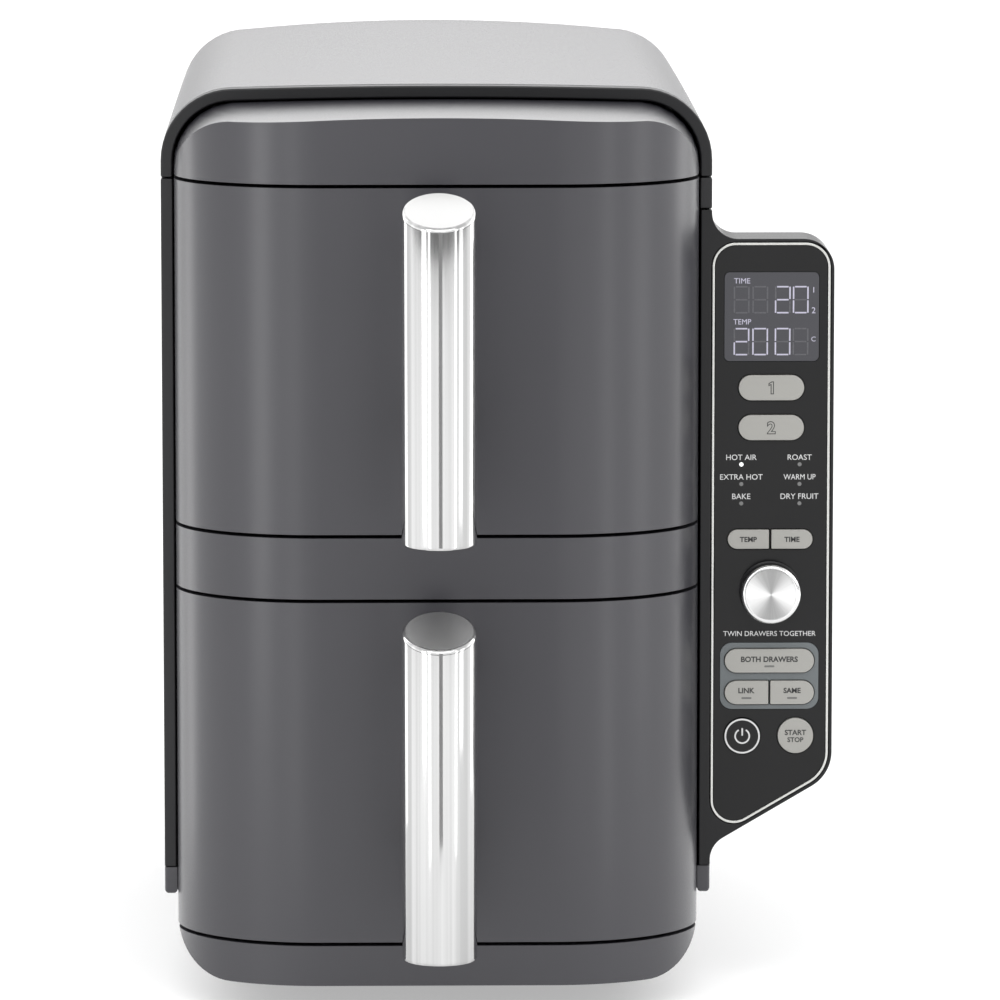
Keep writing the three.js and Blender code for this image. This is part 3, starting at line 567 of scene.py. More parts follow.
def front_rim():
    _, (front, back), (low, _) = span("front_rim")
    inner = arch(SHELL_HALF - RIM_FACE, SHELL_TOP - RIM_FACE, SHELL_CORNER - RIM_FACE, low, CROWN_FRONT)
    outer = arch(SHELL_HALF, SHELL_TOP, SHELL_CORNER, low, CROWN_FRONT)
    loops = [[(a, front, b), (a, back, b), (c, back, d), (c, front, d)]
             for (a, b), (c, d) in zip(outer, inner)]
    cut_piece("front_rim_moulding", rings(loops), [], (0.8,), "cabinet", black, "black_plastic", "front_rim")


def side_panel(side, name, node):
    _, (front, back), (low, high) = span(node)
    ys = [front] + stations(REAR_TURN, back, 4)
    half = [SHELL_HALF - SHELL_TAPER * y / REAR - rear_rounding(y) for y in ys]
    outer = [(side * x, y) for x, y in zip(half, ys)]
    inner = [(side * (x - SHELL_WALL), y) for x, y in zip(half, ys)]
    lip = SHELL_HALF - RIM_FACE
    inner[0] = (side * (SHELL_HALF - SHELL_WALL), front + SHELL_WALL)
    outline = outer + inner[::-1] + [(side * lip, front + SHELL_WALL), (side * lip, front)]
    cuts = []
    if side > 0:
        wing_back = span("control_housing")[1][1]
        notch = (WING_STRIP[0] - 0.3, WING_STRIP[1] + 0.6)
        cuts.append(box_skin((0, 2 * SHELL_HALF), (-5, wing_back + 0.3), notch))
    cut_piece(name, prism_z(outline, (low, high)), cuts, (0.6,),
              "cabinet", textured_black, "black_plastic", node)


def back_cover():
    _, (front, back), (low, _) = span("back_cover")
    ys = [front] + [REAR_TURN + REAR_ROUND * math.sin(math.radians(a)) for a in range(44, 91, 6)]
    ys = [y for y in ys if y >= front]

    def pan(less, start):
        loops = []
        for y in [start] + ys[1:]:
            depth = min(y, REAR) - (less if y > front + 1 else 0)
            section = shell_section(max(min(y, REAR), start), low + less, less)
            loops.append([(x, depth, z) for x, z in section])
        return rings(loops)

    slots = []
    for bay in BAYS:
        height = middle(span(f"{bay}_fan")[2])
        for i in range(-2, 3):
            slot = rectangle(around(0, 42), around(height + i * 12, 2), 1.9)
            slots.append(prism_y(rounded(slot), (back - 10, back + 5)))
    cut_piece("back_cover_shell", pan(0, front), [pan(SHELL_WALL, front - 1), *slots], (0.5,),
              "cabinet", textured_black, "black_plastic", "back_cover")


def base_corners():
    return [(-FRONT_HALF, BODY_LOW, BASE_CORNER), (FRONT_HALF, BODY_LOW, BASE_CORNER),
            (FRONT_HALF, BASE_WALL_TOP, 0), (-FRONT_HALF, BASE_WALL_TOP, 0)]


def base_tray():
    high = span("base_tray")[2][1]
    front = span("front_frame")[1][1] + 0.3
    back = REAR - SHELL_WALL - 1
    plan = rounded([(-FRONT_HALF, front, 0), (FRONT_HALF, front, 0), (FRONT_HALF, back, REAR_ROUND),
                    (-FRONT_HALF, back, REAR_ROUND)], 0, 6)
    tray = mesh_object("base_tray_shell", *prism_z(plan, (BODY_LOW - 5, BAND_LOW + 3)))
    carve(tray, prism_y(rounded(base_corners(), 0, 5), (front - 5, back + 5)), operation="INTERSECT")
    carve(tray, base_band(front, high), operation="UNION")
    (x0, x1), (_, liner_back), (liner_low, _) = span("lower_cavity_liner")
    hollow = prism_y(rounded(base_corners(), 3, 5), (front + 3, back - REAR_ROUND))
    mouth = box_skin(grown((x0, x1), 1), (-5, liner_back + 2), (liner_low - 0.6, 80))
    carve(tray, hollow, mouth)
    tidy_mesh(tray)
    soften(tray, 0.7)
    finish_piece(tray, "cabinet", paint, "grey_painted_plastic", "base_tray")


def base_band(front, high):
    """The band round the tray's top, with a rounded lower edge, open where the drawer passes."""
    opening = FRONT_HALF + 0.3
    rear_half = SHELL_HALF - SHELL_TAPER
    corners = [(-SHELL_HALF, 0, 1.2), (-opening, 0, 0), (-opening, front, 0), (opening, front, 0),
               (opening, 0, 0), (SHELL_HALF, 0, 1.2), (rear_half, REAR, REAR_ROUND),
               (-rear_half, REAR, REAR_ROUND)]
    loops = []
    for sine, cosine in quarter_turn(5):
        z = BAND_LOW + BAND_ROUND * (1 - cosine)
        loops.append([(a, b, z) for a, b in rounded(corners, BAND_ROUND * (1 - sine), 9)])
    loops.append([(a, b, high) for a, b in rounded(corners, 0, 9)])
    return rings(loops)


# ---- Bowed fronts ----
def bowed_piece(name, floor, ceiling, back, limit=None, hollow=True):
    """A bowed piece between floor(x, y) and ceiling(x, y): a shell open at the back, or solid."""
    rows = [(BOW_FLAT + BOW_SIDE * cosine, -BOW_DEPTH * sine) for sine, cosine in quarter_turn(26)]
    across = 28
    if back > 0:
        rows = [(FRONT_HALF, back)] + rows
    if limit:
        rows = [(min(half, limit(y)), y) for half, y in rows]

    def level(height):
        lines = []
        for half, y in rows:
            xs = [-half * math.cos(math.pi * i / across) for i in range(across + 1)]
            lines.append([(x, y, height(x, y)) for x in xs])
        return lines

    high, low = level(ceiling), level(floor)
    edge_high = [line[0] for line in high] + high[-1][1:-1] + [line[-1] for line in reversed(high)]
    edge_low = [line[0] for line in low] + low[-1][1:-1] + [line[-1] for line in reversed(low)]
    skins = [grid(high), grid(low), grid([edge_low, edge_high])]
    if not hollow:
        skins.append(grid([low[0], high[0]]))
    obj = mesh_object(name, *merged(*skins))
    if hollow:
        sheet(obj, FRONT_WALL)
    return obj


def arch_height(x, half, top, corner, crown):
    flat = half - corner
    if abs(x) <= flat:
        return top - crown * (x / half) ** 2
    centre = top - crown * (flat / half) ** 2 - corner
    reach = min(abs(x) - flat, corner)
    return centre + math.sqrt(max(corner * corner - reach * reach, 0))


def fascia_share(y):
    """How far y is from the rim towards the front of the top fascia, from 0 to about 1."""
    return -y / (BOW_DEPTH + 2)


def fascia_half(y):
    return FRONT_HALF - FASCIA_TAPER * fascia_share(y)


def fascia_ceiling(x, y):
    share = fascia_share(y)
    top = FASCIA_TOP - FASCIA_SLOPE * share
    corner = FASCIA_CORNER + (FASCIA_FRONT_CORNER - FASCIA_CORNER) * share
    crown = CROWN_FRONT + (FASCIA_FRONT_CROWN - CROWN_FRONT) * share
    return arch_height(x, fascia_half(y), top, corner, crown)


def base_floor(x, y):  # the same at every y
    reach = abs(x) - (FRONT_HALF - BASE_CORNER)
    if reach <= 0:
        return BODY_LOW
    reach = min(reach, BASE_CORNER)
    return BODY_LOW + BASE_CORNER - math.sqrt(BASE_CORNER ** 2 - reach ** 2)


def fronts():
    for node, name, body in (("middle_fascia", "middle_fascia_strip", "cabinet"),
                             ("upper_drawer_front", "upper_drawer_skin", "upper_drawer"),
                             ("lower_drawer_front", "lower_drawer_skin", "lower_drawer")):
        _, (_, back), (low, high) = span(node)
        piece = bowed_piece(name, lambda x, y, z=low: z, lambda x, y, z=high: z, back)
        soften(piece, 0.9)
        finish_piece(piece, body, paint, "grey_painted_plastic", node)
    _, (_, back), (low, _) = span("top_fascia")
    top = bowed_piece("top_fascia_cap", lambda x, y: low, fascia_ceiling, back, fascia_half)
    soften(top, 1.0)
    finish_piece(top, "cabinet", paint, "grey_painted_plastic", "top_fascia")
    _, (_, back), (_, high) = span("bottom_fascia")
    meet = BASE_CORNER - (high - BODY_LOW)
    widest = FRONT_HALF - BASE_CORNER + math.sqrt(BASE_CORNER ** 2 - meet ** 2)
    bottom = bowed_piece("bottom_fascia_strip", base_floor, lambda x, y: high, back,
                         limit=lambda y: widest, hollow=False)
    soften(bottom, 1.0)
    finish_piece(bottom, "cabinet", paint, "grey_painted_plastic", "bottom_fascia")


# ---- Handles ----
def handle(bay):
    low, high = span(f"{bay}_handle_bar")[2]
    front, back = HANDLE_Y - HANDLE_RADIUS, HANDLE_Y + HANDLE_RADIUS
    top_front = high - HANDLE_FALL
    slope = HANDLE_FALL / (back - front)
    sides = 96
    turn = quarter_turn(6)

    def ring(less, height):
        return [(x, y, height(y)) for x, y in circle((0, HANDLE_Y), HANDLE_RADIUS - less, sides)]

    loops = []
    for sine, cosine in turn:
        lift = low + HANDLE_ROUND * (1 - cosine)
        loops.append(ring(HANDLE_ROUND * (1 - sine), lambda y, z=lift: z))
    for sine, cosine in turn:
        drop = HANDLE_ROUND * (1 - sine)
        loops.append(ring(HANDLE_ROUND * (1 - cosine), lambda y, d=drop: top_front + slope * (y - front) - d))
    bar = mesh_object(f"{bay}_handle_tube", *rings(loops))
    crisp(bar, 40)
    finish_piece(bar, f"{bay}_drawer", chrome, "handle_metal", f"{bay}_handle_bar")
    bar.data.materials.append(satin_chrome)
    for polygon in bar.data.polygons:
        if len(polygon.vertices) == sides and polygon.normal.z > 0:
            polygon.material_index = 1


def handle_mount(bay):
    node = f"{bay}_handle_mount"
    (x0, x1), (_, back), (low, high) = span(node)
    clearance = HANDLE_RADIUS + 0.25
    front = HANDLE_Y + 6
    skins = []
    for z in ((low, low + 20), (high - 20, high)):
        skins.append(prism_z(rounded(rectangle((x0, x1), (front, back), 3.5), 0, 9), z))
    mount = mesh_object(f"{bay}_handle_posts", *merged(*skins))
    spine_plan = rectangle(around(0, 6.5), around(HANDLE_Y + clearance, 3), 1.4)
    spine = prism_z(rounded(spine_plan, 0, 15), (low + 1, high - 1))
    carve(mount, spine, operation="UNION")
    carve(mount, lathe_z([(clearance, low - 5), (clearance, high + 5)], (0, HANDLE_Y), 96))
    tidy_mesh(mount)
    soften(mount, 0.7)
    finish_piece(mount, f"{bay}_drawer", black, "black_plastic", node)


# ---- Control wing ----
WING_STRIP = (53.2, 330.7)
WING_LEFT, WING_RIGHT = span("control_housing")[0]
WING_TOP = 318.6
WING_SLANT = math.tan(math.radians(30.5))
WING_KNEE = 61.6
TRIM_EDGE = 1.6
TRIM_WIDTH = 1.1
WING_SLOPE_TOP = WING_KNEE + (WING_RIGHT - SHELL_HALF) * WING_SLANT
GLASS_FRONT, GLASS_BACK = span("control_face")[1]

WING_CORNERS = [
    (WING_LEFT, WING_STRIP[0], 0),
    (SHELL_HALF, WING_STRIP[0], 0),
    (SHELL_HALF, WING_KNEE, 11),
    (WING_RIGHT, WING_SLOPE_TOP, 17),
    (WING_RIGHT, WING_TOP, 13),
    (SHELL_HALF, WING_TOP, 11),
    (SHELL_HALF, WING_STRIP[1], 0),
    (WING_LEFT, WING_STRIP[1], 0),
]
FACE_CORNERS = [
    (SHELL_HALF - 1.5, 60.9, 11.5),
    (WING_RIGHT, WING_SLOPE_TOP, 17),
    (WING_RIGHT, WING_TOP, 12),
    (SHELL_HALF - 1.5, WING_TOP, 11.5),
]
BUTTON_GAP = 0.35
WINDOW_CORNER = 2.2
BACKING_CORNER = 5
THROUGH = (-5, 5)  # in Y, for cuts through the face


def face_skin(inset, y):
    return prism_y(rounded(FACE_CORNERS, inset, 5), y)


def pill_corners(node):
    x, _, z = span(node)
    round_end = (z[1] - z[0]) / 2 - 0.01
    meeting_corner = 0.4  # where two buttons make one pill
    left = meeting_corner if node in ("time_button", "match_button") else round_end
    right = meeting_corner if node in ("temp_button", "sync_button") else round_end
    return [(x[0], z[0], left), (x[1], z[0], right), (x[1], z[1], right), (x[0], z[1], left)]


PILLS = ("zone_1_button", "zone_2_button", "temp_button", "time_button", "both_drawers_button",
         "sync_button", "match_button")
BACKED = PILLS[4:]
DISCS = ("power_button", "start_stop_button")


def disc(node):
    """A round node's centre as (x, z), and its radius."""
    x, _, z = span(node)
    return (middle(x), middle(z)), (x[1] - x[0]) / 2


def wing():
    front, back = span("control_housing")[1]
    cut_piece("wing_housing", prism_y(rounded(WING_CORNERS, 0, 5), (front, back)),
              [face_skin(TRIM_EDGE - 0.3, (-5, 1.4)), face_skin(5, (-5, back - 2.5))], (0.6,),
              "cabinet", wing_black, "black_plastic", "control_housing")
    cut_piece("wing_trim", face_skin(TRIM_EDGE, (GLASS_FRONT - 0.1, GLASS_BACK)),
              [face_skin(TRIM_EDGE + TRIM_WIDTH, THROUGH)], (0.3,),
              "cabinet", trim_metal, "silver_trim", "control_trim")

    holes = [rounded(pill_corners(node), -BUTTON_GAP) for node in PILLS if node not in BACKED]
    for node in DISCS:
        centre, radius = disc(node)
        holes.append(circle(centre, radius + BUTTON_GAP))
    for node, radius in (("display_window", WINDOW_CORNER), ("backing_plate", BACKING_CORNER)):
        x, _, z = span(node)
        holes.append(rounded(rectangle(x, z, radius), -0.15))
    holes.append(circle(disc("dial_knob")[0], 4))
    cut_piece("wing_face", face_skin(TRIM_EDGE + TRIM_WIDTH + 0.2, (GLASS_FRONT, GLASS_BACK)),
              [prism_y(hole, THROUGH) for hole in holes], (0.12, 2),
              "cabinet", gloss, "gloss_black", "control_face")

    x, y, z = span("display_window")
    cut_piece("display_lens", prism_y(rounded(rectangle(x, z, WINDOW_CORNER), 0, 9), y), [], (0.15, 2),
              "cabinet", glass, "display_glass", "display_window")
    x, y, z = span("backing_plate")
    cut_piece("button_surround", prism_y(rounded(rectangle(x, z, BACKING_CORNER), 0, 5), y),
              [prism_y(rounded(pill_corners(node), -BUTTON_GAP), THROUGH) for node in BACKED], (0.12, 2),
              "cabinet", slate, "slate_grey", "backing_plate")


def buttons():
    for node in PILLS + DISCS:
        y = span(node)[1]
        if node in DISCS:
            outline = circle(*disc(node))
        else:
            outline = rounded(pill_corners(node))
        material, slot = (gloss, "gloss_black") if node == "power_button" else (pale, "pale_grey")
        cut_piece(f"{node}_cap", prism_y(outline, y), [], (0.35,),
                  node.removesuffix("_button"), material, slot, node)


def dial():
    front, back = span("dial_knob")[1]
    centre, skirt_radius = disc("dial_knob")
    radius = skirt_radius - 0.4
    edge, tip = 1.8, 0.02  # the edge's rounding, and the radius that closes a profile at the axis
    cap_profile = [(tip, front + 0.12), (radius - edge - 0.3, front + 0.12), (radius - edge - 0.15, front)]
    cap_profile += arc((radius - edge, front + edge), edge, -90, 0, 6)
    cap_profile += [(radius, -2.6), (radius - 0.35, -2.3), (tip, -2.3)]
    cap = mesh_object("dial_cap", *lathe_y(cap_profile, centre, 96))
    crisp(cap, 30)
    finish_piece(cap, "dial", spun, "silver_trim", "dial_knob")
    cap.data.materials.append(dial_edge)
    middle_point = world((centre[0], 0, centre[1]))
    for polygon in cap.data.polygons:
        away = polygon.center - middle_point
        if math.hypot(away.x, away.z) > (radius - edge) * MM:
            polygon.material_index = 1
    stub, behind = 2.7, GLASS_FRONT - 0.3
    skirt_profile = [(tip, -2.2), (radius - 0.2, -2.2), (skirt_radius - 0.5, -2.2), (skirt_radius, -1.8),
                     (skirt_radius, behind), (stub, behind), (stub, back), (tip, back)]
    skirt = mesh_object("dial_skirt", *lathe_y(skirt_profile, centre, 96))
    crisp(skirt, 30)
    finish_piece(skirt, "dial", black, "black_plastic")


# ---- Printing and display ----
SUNK = 0.02  # how far printing reaches into the face that it is on


def lettering(name, lines, y, material, body, slot, depth=0.08, weight=0.0):
    """Flat raised letters: lines of (text, x, z, capital height, widest), centred on (x, z)."""
    whole = bmesh.new()
    for text, x, z, height, widest in lines:
        curve = bpy.data.curves.new("line", "FONT")
        curve.body = text
        curve.align_x = "CENTER"
        curve.align_y = "CENTER"
        curve.size = 1
        curve.offset = weight
        curve.extrude = 0.02
        curve.resolution_u = 4
        writer = linked("line", curve)
        graph = bpy.context.evaluated_depsgraph_get()
        mesh = bpy.data.meshes.new_from_object(writer.evaluated_get(graph))
        xs = [v.co.x for v in mesh.vertices]
        zs = [v.co.y for v in mesh.vertices]
        size = height / (max(zs) - min(zs))
        stretch = min(size, widest / (max(xs) - min(xs))) if widest else size
        cx, cz = (max(xs) + min(xs)) / 2, (max(zs) + min(zs)) / 2
        for v in mesh.vertices:
            v.co = world((x + (v.co.x - cx) * stretch, y - depth if v.co.z > 0 else y + SUNK,
                          z + (v.co.y - cz) * size))
        whole.from_mesh(mesh)
        bpy.data.objects.remove(writer)
        bpy.data.curves.remove(curve)
        bpy.data.meshes.remove(mesh)
    bmesh.ops.remove_doubles(whole, verts=whole.verts, dist=1e-7)
    bmesh.ops.recalc_face_normals(whole, faces=whole.faces)
    mesh = bpy.data.meshes.new(name)
    whole.to_mesh(mesh)
    whole.free()
    finish_piece(linked(name, mesh), body, material, slot)


def print_piece(name, outlines, y, material, body, slot, depth=0.08):
    """Flat raised marks with the given outlines in (x, z), on a face at y."""
    skins = [prism_y(outline, (y - depth, y + SUNK)) for outline in outlines]
    obj = mesh_object(name, *merged(*skins))
    crisp(obj, 30)
    finish_piece(obj, body, material, slot)


def ring_skin(centre, outer, inner, y, depth, start=0, end=360):
    """A flat ring round centre = (x, z), or a part of one from start to end, in degrees."""
    steps = round((end - start) / 6)
    closed = end - start == 360
    section = ((inner, y + SUNK), (outer, y + SUNK), (outer, y - depth), (inner, y - depth))
    loops = []
    for i in range(steps if closed else steps + 1):
        a = math.radians(start + (end - start) * i / steps)
        loops.append([(centre[0] + r * math.cos(a), d, centre[1] + r * math.sin(a)) for r, d in section])
    if closed:
        return rings(loops + loops[:1], False, False)
    return rings(loops)


SEGMENTS = {"0": "abcdef", "2": "abged"}


def digit_bars(x, z, width, height, lit):
    """Outlines of the seven-segment bars in lit, with the digit's lower left corner at (x, z)."""
    gap, t = 0.28, 0.6  # between two bars, and the thickness of a bar
    half = height / 2
    flats = {"a": height - t, "g": half - t / 2, "d": 0}
    bars = []
    for key in lit:
        if key in flats:
            b = z + flats[key]
            bars.append([(x + t + gap, b), (x + width - t - gap, b),
                         (x + width - t - gap, b + t), (x + t + gap, b + t)])
        else:
            a = x if key in "ef" else x + width - t
            low, high = (half + gap, height - gap) if key in "bf" else (gap, half - gap)
            bars.append([(a, z + low), (a + t, z + low), (a + t, z + high), (a, z + high)])
    return bars


def display():
    (x0, x1), (front, _), (z0, z1) = span("display_window")
    width, height = 6.6, 11.5
    left = x0 + 3.9
    time_low, temp_low = z1 - 17.3, z0 + 2.5
    columns = [left + shift for shift in (0, 7.8, 17.2, 24.7)]
    lit, unlit = [], []
    for column, x in enumerate(columns):
        for low, digits in ((time_low, "  20"), (temp_low, "200 ")):
            shown = SEGMENTS.get(digits[column], "")
            lit += digit_bars(x, low, width, height, shown)
            rest = [key for key in "abcdefg" if key not in shown]
            unlit += digit_bars(x, low, width, height, rest)
    print_piece("display_segments_lit", lit, front, segment_light, "cabinet", "display_glass", 0.06)
    print_piece("display_segments_unlit", unlit, front, ghost, "cabinet", "display_glass", 0.03)
    right = x1 - 2.3
    words = [("TIME", x0 + 7.4, z1 - 3.6, 2.2, 7.2), ("TEMP", x0 + 7.5, temp_low + height + 2.6, 2.2, 7.4),
             ("1", right, z1 - 7.4, 2.3, 0), ("2", right, time_low + 1.3, 2.5, 0),
             ("C", right, temp_low + 6.8, 2.0, 0)]
    lettering("display_words", words, front, segment_light, "cabinet", "display_glass", 0.06)


# A figure one with a flag, in (x, z) from its middle.
ONE = ((-0.35, -2.7), (1.0, -2.7), (1.0, 2.7), (0.1, 2.7), (-1.25, 1.9), (-1.25, 0.7), (-0.35, 1.15))


def printing():
    face = GLASS_FRONT
    left, right = span("power_button")[0][0] + 6.7, span("start_stop_button")[0][0] + 8.7
    zone_low = span("zone_2_button")[2][0]
    rows = [zone_low - 7.3, zone_low - 15.6, zone_low - 23.8]
    # Each word's text, middle, capital height and widest; 0 leaves the width free.
    words = [("HOT AIR", left, rows[0], 2.3, 13.5), ("ROAST", right, rows[0], 2.3, 11.3),
             ("EXTRA HOT", left, rows[1], 2.3, 17.8), ("WARM UP", right, rows[1], 2.3, 13.4),
             ("BAKE", left, rows[2], 2.3, 8.9), ("DRY FRUIT", right, rows[2], 2.3, 19.6)]
    dial_x = middle(span("backing_plate")[0])
    words.append(("TWIN DRAWERS TOGETHER", dial_x, span("backing_plate")[2][1] + 3.9, 2.1, 42))
    lettering("panel_lettering", words, face, white_ink, "cabinet", "gloss_black")
    lamps = [(x, z - 3) for x in (left, right) for z in rows]
    unlit = [circle(lamp, 0.85, 24) for lamp in lamps[1:]]
    print_piece("mode_lamps_unlit", unlit, face, ghost_lamp, "cabinet", "gloss_black")
    print_piece("mode_lamp_lit", [circle(lamps[0], 0.9, 24)], face, lamp_light, "cabinet", "gloss_black")

    # Each button's lines, as (text, rise above its middle, capital height, widest), and their weight.
    legends = {
        "zone_2": ([("2", 0, 5.5, 0)], 0.045),
        "temp": ([("TEMP", 0, 2.2, 7.6)], 0.03),
        "time": ([("TIME", 0, 2.2, 6.8)], 0.03),
        "both_drawers": ([("BOTH DRAWERS", 0.7, 2.4, 31)], 0.03),
        "sync": ([("LINK", 0.9, 2.3, 8.6)], 0.03),
        "match": ([("SAME", 0.9, 2.3, 10.2)], 0.03),
        "start_stop": ([("START", 1.4, 2.3, 9.8), ("STOP", -1.7, 2.1, 7.6)], 0.024),
    }
    for body, (lines, weight) in legends.items():
        x, y, z = span(f"{body}_button")
        placed = [(text, middle(x), middle(z) + rise, height, widest) for text, rise, height, widest in lines]
        lettering(f"{body}_legend", placed, y[0], dark_ink, body, "pale_grey", 0.05, weight)
    x, y, z = span("zone_2_button")
    lettering("zone_2_legend_fill", [("2", middle(x), middle(z), 4.8, 0)], y[0] - 0.05, pale, "zone_2",
              "pale_grey", 0.03)
    x, y, z = span("zone_1_button")
    one = [(middle(x) + a, middle(z) + b, 0) for a, b in ONE]
    print_piece("zone_1_legend", [rounded(one, 0)], y[0], dark_ink, "zone_1", "pale_grey", 0.05)
    print_piece("zone_1_legend_fill", [rounded(one, 0.36)], y[0] - 0.05, pale, "zone_1", "pale_grey", 0.03)
    for body in ("both_drawers", "sync", "match"):
        x, y, z = span(f"{body}_button")
        bar = rounded(rectangle(around(middle(x), 2.1), (middle(z) - 2.7, middle(z) - 1.9), 0.35))
        print_piece(f"{body}_bar_lamp", [bar], y[0], bar_lamp, body, "pale_grey", 0.05)

    centre, radius = disc("power_button")
    y = span("power_button")[1][0]
    depth = 0.05
    skins = [
        ring_skin(centre, radius - 0.05, radius - 0.75, y, depth),
        ring_skin(centre, 3.3, 2.66, y, depth, 120, 420),
        box_skin(around(centre[0], 0.32), (y - depth, y + SUNK), (centre[1] + 0.2, centre[1] + 3.4)),
    ]
    icon = mesh_object("power_symbol", *merged(*skins))
    crisp(icon, 30)
    finish_piece(icon, "power", white_ink, "gloss_black")


# ---- Baskets ----
def basket(bay):
    (x0, x1), (front, back), (low, rim) = span(f"{bay}_basket")
    flange, thick, wall, corner = 4.6, 2.0, 1.5, 18
    tub_x, tub_y = grown((x0, x1), -flange), (front, back - flange)

    def loop(inset, z, wide=0.0):
        outline = rounded(rectangle(grown(tub_x, wide), (tub_y[0], tub_y[1] + wide), corner), inset, 9)
        return [(a, b, z) for a, b in outline]

    fillet, turn = 6, quarter_turn(4)
    loops = [loop(fillet * (1 - sine), low + fillet * (1 - cosine)) for sine, cosine in turn]
    loops += [loop(0, rim - thick - 0.02), loop(0, rim - thick, flange - 0.4),
              loop(0, rim - thick + 0.4, flange), loop(0, rim - 0.7, flange), loop(0, rim, flange - 0.7),
              loop(wall - 0.8, rim), loop(wall, rim - 0.8)]
    for sine, cosine in turn:
        loops.append(loop(wall + fillet * (1 - cosine), low + wall + fillet * (1 - sine)))
    tub = mesh_object(f"{bay}_basket_tub", *rings(loops))
    crisp(tub, 50)
    finish_piece(tub, f"{bay}_drawer", ceramic, "non_stick_coat", f"{bay}_basket")


def crisper(bay):
    node = f"{bay}_crisper_plate"
    x, (front, back), (low, high) = span(node)
    slots = []
    for cx in (-54, -18, 18, 54):
        for i in range(5):
            slot = rectangle(around(cx, 4), around(front + 40 + i * 42, 14), 3.9)
            slots.append(prism_z(rounded(slot, 0, 15), (high - 5, high + 3)))
    plate = prism_z(rounded(rectangle(x, (front, back), 14), 0, 9), (high - 2, high))
    cut_piece(f"{bay}_crisper_grid", plate, slots, (0.5, 2), f"{bay}_plate", ceramic, "non_stick_coat", node)
    feet = []
    for cx in (-70, 70):
        for cy in (front + 16, back - 16):
            feet.append(lathe_z([(3.2, low), (4, low + 0.8), (4, high - 1.9)], (cx, cy), 24))
    legs = mesh_object(f"{bay}_crisper_feet", *merged(*feet))
    crisp(legs, 30)
    finish_piece(legs, f"{bay}_plate", rubber, "non_stick_coat")


top_cover()
front_rim()
side_panel(-1, "left_side_sheet", "side_panel_left")
side_panel(1, "right_side_sheet", "side_panel_right")
back_cover()
base_tray()
fronts()
for bay_name in BAYS:
    handle(bay_name)
    handle_mount(bay_name)
    basket(bay_name)
    crisper(bay_name)
wing()
buttons()
dial()
display()
printing()


# ---- Stage ----
def area_light(name, location, target, size, radiance):
    light = bpy.data.lights.new(name, "AREA")
    light.shape = "RECTANGLE"
    light.size, light.size_y = size
    light.energy = radiance * math.pi * size[0] * size[1]
    obj = linked(name, light)
    obj.location = location
    obj.rotation_euler = (Vector(target) - Vector(location)).to_track_quat("-Z", "Y").to_euler()
    obj.visible_camera = False
    return obj


def stage_sheet(name, corners, material):
    """A flat four-cornered sheet that belongs to the studio; its corners are in metres."""
    mesh = bpy.data.meshes.new(name)
    mesh.from_pydata(corners, [], [(0, 1, 2, 3)])
    mesh.materials.append(material)
    obj = linked(name, mesh)
    return obj


paper = surface("pale_floor", (0.56, 0.56, 0.56), 0.7, vary=0.004,
                Emission_Color=(1, 1, 1, 1), Emission_Strength=0.4)  # the glow keeps the shadows pale
# The floor reaches far to the front, as the handles mirror it.
stage_sheet("studio_floor", [(-40, -60, 0), (40, -60, 0), (40, 30, 0), (-40, 30, 0)], paper)

studio = bpy.data.worlds.new("studio")
bpy.context.scene.world = studio
studio.use_nodes = True
tree = studio.node_tree
background = tree.nodes["Background"]
coordinates = tree.nodes.new("ShaderNodeTexCoord")
separate = tree.nodes.new("ShaderNodeSeparateXYZ")
tree.links.new(coordinates.outputs["Generated"], separate.inputs["Vector"])


def world_ramp(axis, stops):
    """A grey that follows one axis of the direction, from -1 to 1."""
    halved = calculated(tree, "Math", "MULTIPLY_ADD", separate.outputs[axis], 0.5, 0.5)
    glow = tree.nodes.new("ShaderNodeValToRGB")
    while len(glow.color_ramp.elements) < len(stops):
        glow.color_ramp.elements.new(0.5)
    for element, (along, value) in zip(glow.color_ramp.elements, stops):
        element.position = (along + 1) / 2
        element.color = (value, value, value, 1)
    tree.links.new(halved, glow.inputs["Fac"])
    return glow.outputs["Color"]


front_to_back = world_ramp("Y", ((-1.0, 0.4), (-0.95, 0.55), (-0.3, 0.7), (0.5, 1.0)))
upwards = world_ramp("Z", ((0.0, 0.45), (0.12, 0.56), (0.3, 2.1), (0.5, 2.0), (0.8, 1.25), (1.0, 1.0)))
tree.links.new(calculated(tree, "VectorMath", "MULTIPLY", front_to_back, upwards), background.inputs["Color"])
background.inputs["Strength"].default_value = 1.1

FRONT_LINE = world((0, HANDLE_Y, 0)).y
SOFTBOX_HEIGHT = 1.0
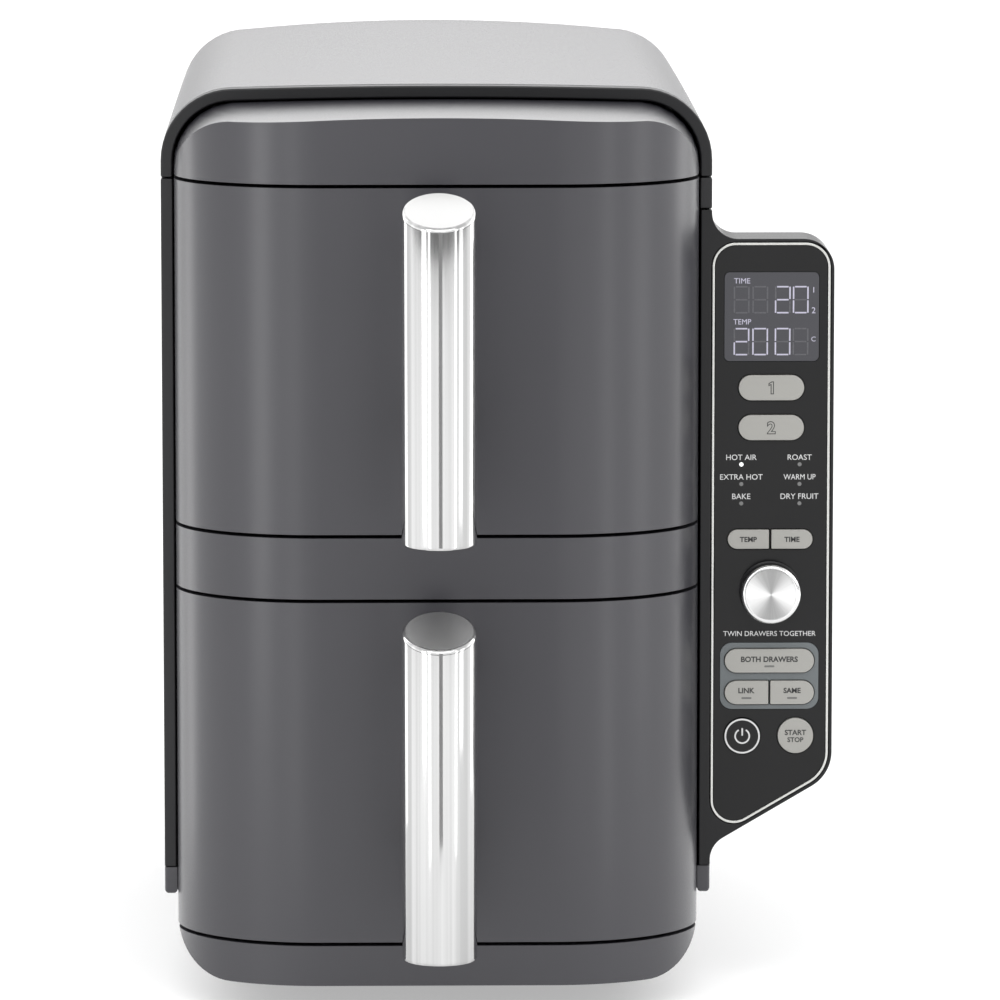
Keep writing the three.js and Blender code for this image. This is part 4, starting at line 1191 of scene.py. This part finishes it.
# Upright softboxes on the floor, round the handles, that show in them and in the bowed fronts:
# name, azimuth from the front, distance, width, radiance.
SOFTBOXES = (
    ("left_strip", -33, 0.35, 0.035, 1.7), ("left_softbox", -47, 0.9, 0.19, 3.0),
    ("left_wing", -118, 0.5, 0.09, 1.8), ("right_strip", 47, 0.35, 0.042, 1.8),
    ("right_softbox", 68, 0.9, 0.22, 1.4), ("right_wing", 116, 0.6, 0.16, 1.6),
)
for box_name, azimuth, distance, width, radiance in SOFTBOXES:
    along = math.radians(azimuth)
    place = (distance * math.sin(along), FRONT_LINE - distance * math.cos(along), SOFTBOX_HEIGHT / 2)
    target = (0, FRONT_LINE, SOFTBOX_HEIGHT / 2)
    softbox = area_light(box_name, place, target, (width, SOFTBOX_HEIGHT), radiance)
    softbox.visible_diffuse = False  # so that the floor stays even
area_light("key_softbox", (0, -1.2, 1.9), (0, -0.1, 0.2), (1.6, 0.8), 2.6)
wash = area_light("floor_wash", (0, -4, 2.5), (0, -4, 0), (4, 3), 1.0)
wash.visible_glossy = False  # it only keeps the floor that the handles reflect as pale as the rest
ceiling = bpy.data.lights.new("ceiling_glow", "SUN")
ceiling.energy = 0.4
ceiling.angle = math.radians(75)
linked("ceiling_glow", ceiling).visible_glossy = False

# A narrow grey flag in front, for the dark line down the middle of each handle.
flag_x, flag_y, flag_height = 0.036, -0.6, 0.45
felt = surface("flag_felt", (0.3, 0.3, 0.3), 0.9)
flag = stage_sheet("camera_flag", [(-flag_x, flag_y, 0), (flag_x, flag_y, 0), (flag_x, flag_y, flag_height),
                                   (-flag_x, flag_y, flag_height)], felt)
flag.visible_camera = False
flag.visible_shadow = False

camera_data = bpy.data.cameras.new("camera")
camera_data.lens = 267.9
camera_data.sensor_width = 36
camera = linked("camera", camera_data)
camera.location = (-0.0558, -3.21315, 0.6357)
camera.rotation_euler = (math.radians(82.13), 0, math.radians(-1.05))
bpy.context.scene.camera = camera
bpy.context.scene.view_settings.view_transform = "Standard"

bpy.context.view_layer.update()
